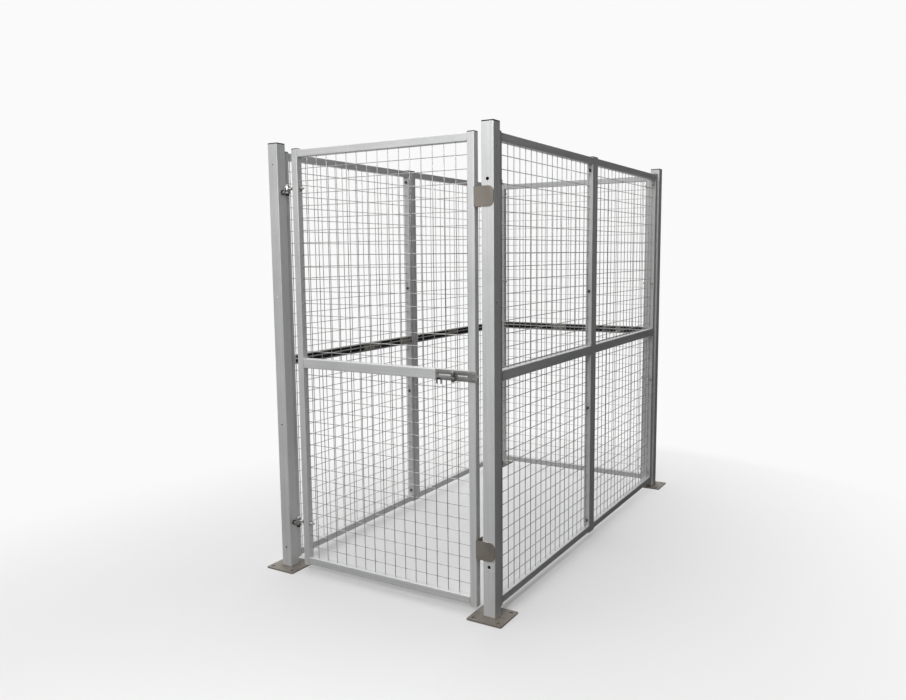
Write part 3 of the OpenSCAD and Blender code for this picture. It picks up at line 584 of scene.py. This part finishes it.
postCap = capRings(cage["postWide"], cage["postCapThick"])
capSpots = [(x, y, cage["top"] - cage["postCapThick"]) for x, y in postSpots]
buildPiece("postCaps", copies([postCap], capSpots), "blackCap", "root", ["post_caps"])
buildPiece("panelStileCaps", onAllPanels(stileCaps), "blackCap", "root", ["panel_stile_caps"])
buildPiece("gateStileCaps", stileCaps("gate", cage["gateWide"]), "blackCap", "gate", ["gate_stile_caps"])
print("caps made")

nugget = {
    "across": 0.0021, "deep": 0.0026, "endAcross": 0.0027, "endDeep": 0.0013, "reach": 1.15, "sharp": 80.0,
}


# an egg: rings at angle b with radius cos b, and height sin b
def eggRings(across, deep, around=6, rings=4):
    b = np.linspace(-nugget["reach"], nugget["reach"], rings)
    return turned(list(zip(across * np.cos(b), deep * np.sin(b))), around)


# a grid of spots in a panel's own axes, at all pairs of x and z
def gridSpots(xs, zs, y):
    x, z = np.meshgrid(xs, zs)
    return np.stack([x.ravel(), y + 0 * x.ravel(), z.ravel()], -1)


# the weld spots of one mesh: where its wires cross, and where they end on the tubes; one level wire of
# the gate has no end on the hinge side, at cut
def meshWelds(which, wide, edge, shift=0.0, cut=0.0):
    tube, layer = cage["tube"], (cage["wire"] + cage["wireGap"]) / 2
    gaps = math.floor((wide - 2 * tube - 2 * edge) / cage["pitch"] + 1e-6)
    xs = wide / 2 - shift + (np.arange(gaps + 1) - gaps / 2) * cage["pitch"]
    steps = np.arange(1, cage["levels"] + 1) * cage["pitch"]
    zs = np.concatenate([midZ - steps[::-1], midZ + steps])
    (low, mid, high), (lowHalf, midHalf, highHalf) = cage["railZ"], cage["railHalf"]
    uprightEnds = gridSpots(xs, [low + lowHalf, mid - midHalf, mid + midHalf, high - highHalf], -layer)
    levelEnds = gridSpots([tube, wide - tube], zs, layer)
    atCut = (np.abs(levelEnds[:, 2] - cut) < cage["wire"] / 3) & (levelEnds[:, 0] < wide / 2)
    cross, end = eggRings(nugget["across"], nugget["deep"]), eggRings(nugget["endAcross"], nugget["endDeep"])
    return onPanel(copies([cross], gridSpots(xs, zs, 0.0), axis=(0, 1, 0)) + copies([end], uprightEnds)
                   + copies([end], levelEnds[~atCut], **alongX), which)


for which in panelNames:
    welds = meshWelds(which, cage["panelWide"], cage["panelEdge"])
    buildPiece("meshWelds_" + which, welds, "wireZinc", "root", sharp=nugget["sharp"])
welds = meshWelds("gate", cage["gateWide"], cage["gateEdge"], cage["gateShift"], cage["gateCut"])
buildPiece("meshWelds_gate", welds, "wireZinc", "gate", sharp=nugget["sharp"])
print("mesh welds made")

seam = {"fillet": 0.0032, "flushWide": 0.0022, "flushHigh": 0.00045, "footLeg": 0.0045, "keeperLeg": 0.0016}
flushBead = {"span": 180.0, "ripple": 0.0022, "depth": 0.3, "perRipple": 4, "arcs": 5}


# beads where the rails meet the stiles: fillets above and below a rail, and flat seams on both faces;
# a bead is a stack of section rings, so its ring points run along the section
def frameWelds(which, wide):
    tube, corner = cage["tube"], cage["tubeCorner"]
    half, leg = tube / 2, seam["fillet"]
    reach = half - corner
    parts = []
    for x, inward in ((tube, 1), (wide - tube, -1)):
        for number, (z, tall) in enumerate(zip(cage["railZ"], cage["railHalf"])):
            for up in (-1, 1):
                if (number, up) in ((0, -1), (2, 1)):
                    continue
                ends = [(x, y, z + up * tall) for y in (-reach, reach)]
                parts.append(beadRings(*ends, (0, 0, up * leg), (inward * leg, 0, 0)))
            for face in (-1, 1):
                ends = [(x, face * half, z + up * (tall - corner)) for up in (-1, 1)]
                legs = (seam["flushWide"], 0, 0), (0, face * seam["flushHigh"], 0)
                parts.append(beadRings(*ends, *legs, **flushBead))
    return onPanel([(points, False) for points in parts], which)


buildPiece("panelWelds", onAllPanels(frameWelds), "weldZinc", "root")
buildPiece("gateWelds", frameWelds("gate", cage["gateWide"]), "weldZinc", "gate")

postLoop = boxCorners(cage["postWide"], cage["postWide"], cage["postCorner"])
footWelds = [(beadLoop(postLoop, x, y, cage["plateThick"], seam["footLeg"]), True) for x, y in postSpots]
buildPiece("postFootWelds", footWelds, "weatheredPlate", "root")

front, leg = -(cage["postY"] + cage["postWide"] / 2), seam["keeperLeg"]
keeperX = (cage["postX"] - cage["keeperSeat"], cage["postX"])
keeperWelds = []
for z, up in [(z, up) for z in cage["keeperZ"] for up in (-1, 1)]:
    ends = [(x, front, z + up * cage["keeperHalf"]) for x in keeperX]
    keeperWelds.append((beadRings(*ends, (0, 0, up * leg), (0, -leg, 0)), False))
buildPiece("keeperWelds", keeperWelds, "weldZinc", "root", slot="dull_plate")
print("welds made")

bolt = {
    "flats": 0.013, "head": 0.0053, "nut": 0.0065, "radius": 0.004, "pitch": 0.00125, "washer": 0.0016,
    "washerRadius": 0.008, "inPost": 0.0120, "tail": 0.003, "core": 0.0037, "coreIn": 0.002,
    "dip": (0.0045, 0.0040), "dipDeep": 0.0003,
}
upright, clear, stile = (0, 0, 1), cage["threadClear"], cage["tube"]
boltBore, seat = bolt["radius"] + clear, stile + bolt["washer"]


# every bolt joint as (spot on the inner face of a stile, direction to the head)
def postJoints():
    endX, endY = cage["panelWide"] / 2, cage["panelWide"] + cage["jointGap"] / 2
    joints = []
    for z in cage["boltZ"]:
        joints += [((sx * cage["postX"], sy * endY, z), (0, -sy, 0)) for sx in (-1, 1) for sy in (-1, 1)]
        joints += [((sx * endX, cage["postY"], z), (-sx, 0, 0)) for sx in (-1, 1)]
    return joints


# a shape at every post joint: its own z runs to the head, and it is moved that way
def atPostJoints(shape, joined=False, moved=0.0):
    return [(place(shape, [np.array(spot) + np.array(axis) * moved], axis, upright), joined)
            for spot, axis in postJoints()]


# a hex head along its own z, with a shallow round dip in its face
def headRings(low):
    high, (outer, inner) = low + bolt["head"], bolt["dip"]
    dip = turned([(outer, high), (inner, high - bolt["dipDeep"])], hexShape["around"])
    return np.concatenate([hexRings(bolt["flats"], low, high, coneLow=False), dip])


head, shank = headRings(seat), bar(bolt["radius"], -bolt["inPost"], seat)
buildPiece("panelBolts", atPostJoints(head), "boltZinc", "root", ["panel_bolts"])
buildPiece("panelBoltShanks", atPostJoints(shank), "darkSteel", "root")

middle, far = cage["jointGap"] / 2, -cage["jointGap"] - seat
jointSpots = np.array([(sx * cage["postX"], middle, z) for sx in (-1, 1) for z in cage["boltZ"]])
nutEnd = far - bolt["nut"]
thread = threadRings(bolt["radius"], bolt["pitch"], nutEnd - bolt["tail"], far + bolt["coreIn"])
jointBolt = copies([head, thread, bar(bolt["core"], far, seat)], jointSpots, **alongY)
buildPiece("jointBolts", jointBolt, "brightZinc", "root", ["joint_bolts"])
jointNut = nutRings(bolt["flats"], nutEnd, far, boltBore)
buildPiece("jointNuts", copies([jointNut], jointSpots, True, **alongY), "blackNut", "root", ["joint_nuts"])

washer = washerRings(bolt["washerRadius"], boltBore, 0, bolt["washer"])
washers = atPostJoints(washer, True, stile)
for low in (stile, far):
    washers += copies([washer], jointSpots + np.array([0, low, 0]), True, **alongY)
buildPiece("boltWashers", washers, "boltZinc", "root", ["bolt_washers"])
print("panel bolts made")

# the neck is given as (radius, distance from the pin), and the dome as (radius, height)
hinge = {
    "eyeRadius": 0.012, "eyeHigh": 0.024, "eyeLow": 0.0003, "boreEase": 0.001, "pinRadius": 0.005,
    "eyeEase": ((0.0022, 0.0), (0.0007, 0.0007), (0.0, 0.0026)), "pinWasher": 0.0025,
    "pinWasherRadius": 0.010, "pinNut": 0.008, "pinTail": 0.002, "stud": 0.006, "pitch": 0.00175,
    "studTail": 0.0155, "lugThick": 0.007, "lugEdge": 0.0012, "lugCorner": 0.003, "gap": 0.001,
    "flats": 0.019, "nut": 0.010, "jam": 0.006, "rod": 0.005, "rodPitch": 0.0015, "rodFlats": 0.016,
    "rodNut": 0.0084, "rodWasher": 0.002, "rodWasherRadius": 0.011, "rodTail": 0.010, "rodIn": 0.014,
    "neckIn": 0.013, "around": 28, "neck": [(0.0062, 0.0100), (0.0056, 0.0130), (0.0050, 0.0160)],
    "dome": [(0.0080, 0.0), (0.0080, 0.0012), (0.0076, 0.0022), (0.0064, 0.0032), (0.0044, 0.0038),
        (0.0020, 0.0040)],
}
pinX, pinY, gap, around = cage["pinX"], -cage["postY"], hinge["gap"], hinge["around"]
eyeLow, eyeHigh, eyeRadius = hinge["eyeLow"], hinge["eyeLow"] + hinge["eyeHigh"], hinge["eyeRadius"]
lugThick, pinRadius, rodPitch = hinge["lugThick"], hinge["pinRadius"], hinge["rodPitch"]
pinSpots = [(pinX, pinY, z) for z in cage["hingeZ"]]
studSpots = [(0, pinY, z) for z in cage["hingeZ"]]
ends = ("lower", "upper")

# stud through the post's wall, with a flat lug
postFace = cage["postWide"] / 2 - cage["postX"]
postInside = postFace - cage["postWall"]
studFrom, studTo = postFace - hinge["studTail"], pinX - eyeRadius - gap
stud = threadRings(hinge["stud"], hinge["pitch"], studFrom, studTo, around)
lugCorner = hinge["lugCorner"]
lugX, lugY = postFace + hinge["jam"] + gap + lugCorner, eyeRadius - lugCorner
lugCorners = [(pinX, 0, eyeRadius, -90, 0), (pinX, 0, eyeRadius, 0, 90),
              (lugX, lugY, lugCorner, 90, 180), (lugX, -lugY, lugCorner, 180, 270)]
lug = plateRings(lugCorners, -lugThick, 0.0, hinge["lugEdge"])
for spot, end in zip(studSpots, ends):
    buildPiece("hingeStud" + end.title(), copies([stud], [spot], **alongX) + copies([lug], [spot]),
               "darkSteel", "root", ["hinge_lug_" + end])
studNuts = [nutRings(hinge["flats"], low, high, hinge["stud"] + clear)
            for low, high in ((postFace, postFace + hinge["jam"]), (postInside - hinge["nut"], postInside))]
buildPiece("hingeStudNuts", copies(studNuts, studSpots, True, **alongX), "blackNut", "root",
           ["hinge_lug_nuts"])

# pins with a domed head, a washer under it and a nut below the lug
pinTop, pinFoot = eyeLow + eyeHigh + hinge["pinWasher"], -lugThick - hinge["pinNut"]
pinShapes = [turned([(radius, pinTop + height) for radius, height in hinge["dome"]]),
             bar(pinRadius, -lugThick - gap, pinTop + gap / 2, 32),
             threadRings(pinRadius, rodPitch, pinFoot - hinge["pinTail"], -lugThick - gap / 2)]
for spot, end in zip(pinSpots, ends):
    pin = copies(pinShapes, [spot])
    buildPiece("hingePin" + end.title(), pin, "brightZinc", "root", ["hinge_pin_" + end])
pinNut = nutRings(hinge["rodFlats"], pinFoot, -lugThick, pinRadius + clear)
buildPiece("hingePinNuts", copies([pinNut], pinSpots, True), "blackNut", "root", ["hinge_pin_nuts"])
pinWasher = washerRings(hinge["pinWasherRadius"], pinRadius + clear, pinTop - hinge["pinWasher"], pinTop)
buildPiece("hingePinWashers", copies([pinWasher], pinSpots, True), "boltZinc", "root", ["hinge_pin_washers"])


# one end of an eye's section, from its bore out; up is 1 where the eye rises from there, else -1
def eyeEnd(height, up):
    bore, ease = pinRadius + clear, hinge["boreEase"]
    rim = [(eyeRadius - inward, height + up * rise) for inward, rise in hinge["eyeEase"]]
    return [(bore, height + up * ease), (bore + ease, height)] + rim


# gate eyes: a barrel with eased edges on a threaded rod, with a washer and a nut on each side of the stile
eye = turned(eyeEnd(eyeLow, 1) + eyeEnd(eyeHigh, -1)[::-1], 48)
washerThick, nutLong, gateX = hinge["rodWasher"], hinge["rodNut"], cage["gateX"]
innerSeat, rodBore = stile + washerThick, hinge["rod"] + clear
rodEnd = gateX + innerSeat + nutLong + hinge["rodTail"]
rod = threadRings(hinge["rod"], rodPitch, gateX - hinge["rodIn"], rodEnd, around)
neck = turned([(radius, pinX + away) for radius, away in hinge["neck"]]
              + [(hinge["rod"], gateX - hinge["neckIn"])], around)
eyeAxis = (eyeLow + eyeHigh) / 2
for spot, end in zip(pinSpots, ends):
    shaft = copies([neck, rod], [(0, pinY, spot[2] + eyeAxis)], **alongX)
    buildPiece("gateEyeBolt" + end.title(), copies([eye], [spot], True) + shaft, "brightZinc", "gate",
               ["gate_eye_bolt_" + end])
eyeSpots = [(gateX, pinY, z + eyeAxis) for z in cage["hingeZ"]]
outerNut = nutRings(hinge["rodFlats"], -washerThick - nutLong, -washerThick, rodBore)
innerNut = nutRings(hinge["rodFlats"], innerSeat, innerSeat + nutLong, rodBore)
rodWashers = [washerRings(hinge["rodWasherRadius"], rodBore, low, low + washerThick)
              for low in (-washerThick, stile)]
buildPiece("eyeBoltOuterNuts", copies([outerNut], eyeSpots, True, **alongX), "blackNut", "gate",
           ["eye_bolt_nuts"])
buildPiece("eyeBoltInnerNuts", copies([innerNut], eyeSpots, True, **alongX), "brightZinc", "gate")
buildPiece("eyeBoltWashers", copies(rodWashers, eyeSpots, True, **alongX), "boltZinc", "gate",
           ["eye_bolt_washers"])
print("hinges made")

# the rivet and the collar are given as (radius, height)
latch = {
    "left": 0.273, "long": 0.180, "high": 0.040, "thick": 0.0025, "corner": 0.002, "edge": 0.0006,
    "slotLeft": 0.287, "slotLong": 0.125, "slotHigh": 0.007, "slotRadius": 0.00349, "bevelWide": 0.0015,
    "bevelDeep": 0.0020, "bevelEase": 0.0002, "rivetX": (0.280, 0.438), "rivetUp": 0.009,
    "rivet": [(0.0040, 0.0), (0.0038, 0.0012), (0.0030, 0.0024), (0.0017, 0.0032), (0.0005, 0.0035)],
    "handleX": 0.365, "gripOut": 0.024, "stemRadius": 0.003, "stemFrom": -0.0093, "stemTo": 0.022,
    "collar": [(0.0030, 0.0135), (0.0060, 0.0135), (0.0066, 0.0141), (0.0066, 0.0170), (0.0055, 0.0185),
        (0.0030, 0.0185)],
}
thick, edge, bevel, ease = latch["thick"], latch["edge"], latch["bevelWide"], latch["bevelEase"]
latchBack = -(cage["postY"] + cage["tube"] / 2)
latchFront = latchBack - thick

# plate with a slot: outlines run from the back over the outer edge to the slot and back through it
outer = boxCorners(latch["long"], latch["high"], latch["corner"], latch["left"] + latch["long"] / 2)
slot = boxCorners(latch["slotLong"], latch["slotHigh"], latch["slotRadius"],
                  latch["slotLeft"] + latch["slotLong"] / 2)
plate = outlineStack([(outer, 0.0, 0.0), (outer, 0.0, thick - edge), (outer, edge / 3, thick - edge / 3),
                      (outer, edge, thick), (slot, -bevel, thick), (slot, ease - bevel, thick - ease / 2),
                      (slot, 0.0, thick - latch["bevelDeep"]), (slot, 0.0, 0.0)])
platePart = copies([plate], [(0, latchBack, midZ)], True, **toFront)
buildPiece("latchPlate", platePart, "latchSteel", "gate", ["latch_plate"])
rivetSpots = [(x, latchFront, midZ + up * latch["rivetUp"]) for x in latch["rivetX"] for up in (-1, 1)]
rivets = copies([turned(latch["rivet"], 20)], rivetSpots, **toFront)
buildPiece("latchRivets", rivets, "latchSteel", "gate", ["latch_rivets"], slot="zinc_fasteners")

# bent bar for a padlock
staple = {"x": 0.2905, "down": 0.0225, "out": 0.00255, "bow": 0.0095, "leg": 0.0110, "radius": 0.0025}


# a half circle above two straight legs: (x + r cos a, y, z + r sin a) with a from 0 to 180 degrees
def staplePath():
    x, y, z, r = staple["x"], latchFront - staple["out"], midZ - staple["down"], staple["bow"]
    legs = np.linspace(staple["leg"], 0, 5)
    path = [(x + r, y, z - leg) for leg in legs[:-1]]
    path += [(x + r * math.cos(a), y, z + r * math.sin(a)) for a in np.radians(np.linspace(0, 180, 21))]
    return path + [(x - r, y, z - leg) for leg in legs[::-1][1:]]


stapleBar = pipeRings(staplePath(), (0, 1, 0), staple["radius"])
buildPiece("latchStaple", [(stapleBar, False)], "blackNut", "gate", ["latch_staple"])

# grip: a wing knob with two rounded lobes, one up and one down, on a round shank
grip = {
    "high": 0.0455, "wide": 0.0085, "deep": 0.0085, "waist": 0.50, "lobe": 0.56, "lobeLong": 0.42,
    "flat": 0.62, "endPower": 5, "endLeast": 0.0004, "lobePower": 4, "squarePower": 3.2, "fill": 0.97,
}


# ring radius = end round-off x (waist + the rest x a bump at each lobe), on a square rounded by a power
def gripRings(rings=61, around=48):
    t = np.linspace(-1, 1, rings)[:, None]
    a = angles(around)[None]
    ends = np.sqrt(np.clip(1 - np.abs(t) ** grip["endPower"], grip["endLeast"], 1))
    lobes = np.exp(-((np.abs(t) - grip["lobe"]) / grip["lobeLong"]) ** grip["lobePower"])
    size = ends * (1 - grip["waist"] * (1 - lobes))
    c, s, power = np.cos(a), np.sin(a), grip["squarePower"]
    square = (np.abs(c) ** power + np.abs(s) ** power) ** (-1 / power) * grip["fill"]
    wide = grip["wide"] * size * square
    deep = grip["deep"] * (grip["flat"] + (1 - grip["flat"]) * size) * ends * square
    return np.stack([wide * c, deep * s, grip["high"] / 2 * t + 0 * a], -1)


gripSpot = (latch["handleX"], latchFront - latch["gripOut"], midZ)
buildPiece("latchGrip", copies([gripRings()], [gripSpot]), "gripPlastic", "latch", ["latch_handle"])
stem = bar(latch["stemRadius"], latch["stemFrom"], latch["stemTo"], 24)
handle = copies([stem, turned(latch["collar"], 32)], [(latch["handleX"], latchFront, midZ)], **toFront)
buildPiece("latchShank", handle, "brightZinc", "latch")
print("latch made")

# finishes of the frame's own parts, by how a name starts; the first that fits counts
partFinishes = {
    "post_front": "postZinc", "post_back": "postZinc", "post_nuts": "darkSteel", "frame_back": "backZinc",
    "frame_": "sideZinc", "buffer_carriers": "sideZinc", "gate_frame": "gateZinc", "gate_mesh": "wireZinc",
    "mesh_": "wireZinc", "base_plate": "weatheredPlate", "keeper": "weatheredPlate",
    "latch_guide": "guidePlastic", "latch_bolt": "slidePaintedHighlight", **{strip: strip for strip in reflectionSpans},
}
for name, part in nodes.items():
    finish = next((finish for start, finish in partFinishes.items() if name.startswith(start)), "boltZinc")
    part.data.materials.clear()
    part.data.materials.append(finishes[finish])
print("frame parts finished")

# a floor that is pale grey near the object, a painted pool of shade there besides the real shadows it takes,
# and fades into the backdrop away from either of two centres
floorLook = {
    "seen": 0.68, "bounce": 0.24, "rough": 0.9, "half": 40.0, "shadePoolCentre": (0.13, -1.03, 0.0),
    "shadePoolStretch": (1.0, 0.5, 1.0), "shadePoolBand": (0.3, 2.6), "edgeCentre": (0.0, -0.8, 0.0),
    "edgeBand": (1.9, 2.9), "backdrop": 0.957,
}


# a grey of one tone
def grey(tone):
    return (tone, tone, tone)


# 1 for what the camera sees directly, in gloss or through glass
def seenDirectly(tree):
    rays = tree.nodes.new("ShaderNodeLightPath").outputs
    seen = mathStep(tree, "MAXIMUM", rays["Is Camera Ray"], rays["Is Glossy Ray"])
    return mathStep(tree, "MAXIMUM", seen, rays["Is Transmission Ray"])


# 0 near a centre and 1 away from it, by the distance between two limits
def awayFrom(tree, where, centre, band):
    away = addNode(tree, "ShaderNodeVectorMath", {0: where, 1: centre}, operation="DISTANCE")
    return remap(tree, away.outputs["Value"], *band, ease="SMOOTHSTEP")


# pale where it is seen, greyer for the light it throws back, and one with the backdrop further out; the grey
# left round the object is painted shade
def makeFloor(look):
    finish, tree, shader = newFinish("paleFloor")
    seen = seenDirectly(tree)
    colour = mixColour(tree, seen, grey(look["bounce"]), grey(look["seen"]))
    setInputs(tree, shader, {"Base Color": colour, "Roughness": look["rough"], "Specular IOR Level": 0.0})
    where = tree.nodes.new("ShaderNodeTexCoord").outputs["Object"]
    inputs = {0: where, 1: look["shadePoolStretch"]}
    stretched = addNode(tree, "ShaderNodeVectorMath", inputs, operation="MULTIPLY").outputs[0]
    # the floor's grey round the object, before it gives way to the glow, is a painted pool of shade beside
    # the real shadows it takes
    outsideShadePool = awayFrom(tree, stretched, look["shadePoolCentre"], look["shadePoolBand"])
    edge = awayFrom(tree, where, look["edgeCentre"], look["edgeBand"])
    outsideShadePool = mathStep(tree, "MULTIPLY", mathStep(tree, "MAXIMUM", outsideShadePool, edge), seen)
    glow = addNode(tree, "ShaderNodeEmission", {"Color": (*grey(look["backdrop"]), 1.0), "Strength": 1.0})
    mix = addNode(tree, "ShaderNodeMixShader", {0: outsideShadePool, 1: shader.outputs[0], 2: glow.outputs[0]})
    tree.links.new(mix.outputs[0], tree.nodes["Material Output"].inputs["Surface"])
    return finish


half = floorLook["half"]
corners = [(x * half, y * half, 0) for x, y in ((-1, -1), (1, -1), (1, 1), (-1, 1))]
floorMesh = bpy.data.meshes.new("studioFloor")
floorMesh.from_pydata(corners, [], [(0, 1, 2, 3)])
floor = addObject("studioFloor", floorMesh)
floorMesh.materials.append(makeFloor(floorLook))

# a soft front lamp, two wide suns and hardly any light from all round
light = {
    "ambient": 0.004, "background": 0.957, "sunAway": 6.0,
    "backSun": {"from": (-0.05, 0.42, 0.90), "strength": 1.15, "angle": 60.0},
    "leftSun": {"from": (-0.40, -0.30, 0.865), "strength": 1.70, "angle": 80.0},
    "keyPower": 71.0, "keySize": 1.6, "keyPlace": (0.8, -3.4, 2.5), "keyAim": (0.1, -1.0, 1.0),
}
world = bpy.data.worlds.new("paleStudio")
world.use_nodes = True
bpy.context.scene.world = world
sky = world.node_tree
skyColour = mixColour(sky, seenDirectly(sky), grey(light["ambient"]), grey(light["background"]))
sky.links.new(skyColour, sky.nodes["Background"].inputs["Color"])


# a lamp at a place, whose own z runs away from the point that it looks at and whose own x is level
def addLamp(name, kind, place, aim, **settings):
    lamp = bpy.data.lights.new(name, kind)
    for key, value in settings.items():
        setattr(lamp, key, value)
    way = np.array(place, float) - np.array(aim, float)
    way /= np.linalg.norm(way)
    across = np.cross((0, 0, 1), way)
    across /= np.linalg.norm(across)
    rows = np.stack([across, np.cross(way, across), way, place], -1).tolist()
    addObject(name, lamp).matrix_world = Matrix(rows + [[0, 0, 0, 1]])


for name in ("backSun", "leftSun"):
    look = light[name]
    addLamp(name, "SUN", np.array(look["from"]) * light["sunAway"], (0, 0, 0), energy=look["strength"],
            angle=math.radians(look["angle"]))
addLamp("frontKey", "AREA", light["keyPlace"], light["keyAim"], energy=light["keyPower"],
        shape="SQUARE", size=light["keySize"])

# flags as in a studio: each is a bent line of (x, z) or (y, z), swept along axis y or x between two limits
flagLook = {
    "rightFlag": {"tone": 0.05, "axis": "y", "limits": (-3.0, 16.0),
        "line": [(0.53, 0.004), (3.0, 0.004), (3.0, 4.5)]},
    "frontFlag": {"tone": 0.22, "axis": "x", "limits": (-8.0, 0.55), "line": [(-1.0, 0.004), (-6.0, 0.004)]},
    "cameraFlag": {"tone": 0.10, "axis": "x", "limits": (-8.0, 8.0), "line": [(-6.0, 0.0), (-6.0, 3.0)]},
}


# a dull strip that only gloss sees: quads from the line at one limit to the line at the other
def makeFlag(name, look):
    line = np.array(look["line"], float)
    count = len(line)
    column = 0 if look["axis"] == "x" else 1
    ends = [np.insert(line, column, limit, axis=1) for limit in look["limits"]]
    quads = [(i, i + 1, count + i + 1, count + i) for i in range(count - 1)]
    flagMesh = bpy.data.meshes.new(name)
    flagMesh.from_pydata(np.concatenate(ends).tolist(), [], quads)
    flag = addObject(name, flagMesh)
    finish, tree, shader = newFinish(name)
    colour = (*grey(look["tone"]), 1.0)
    setInputs(tree, shader, {"Base Color": colour, "Roughness": 1.0, "Specular IOR Level": 0.0})
    flagMesh.materials.append(finish)
    for sort in ("camera", "diffuse", "transmission", "shadow"):
        setattr(flag, "visible_" + sort, False)


for name, look in flagLook.items():
    makeFlag(name, look)
bpy.context.scene.view_settings.view_transform = "Standard"
print("floor and light made")
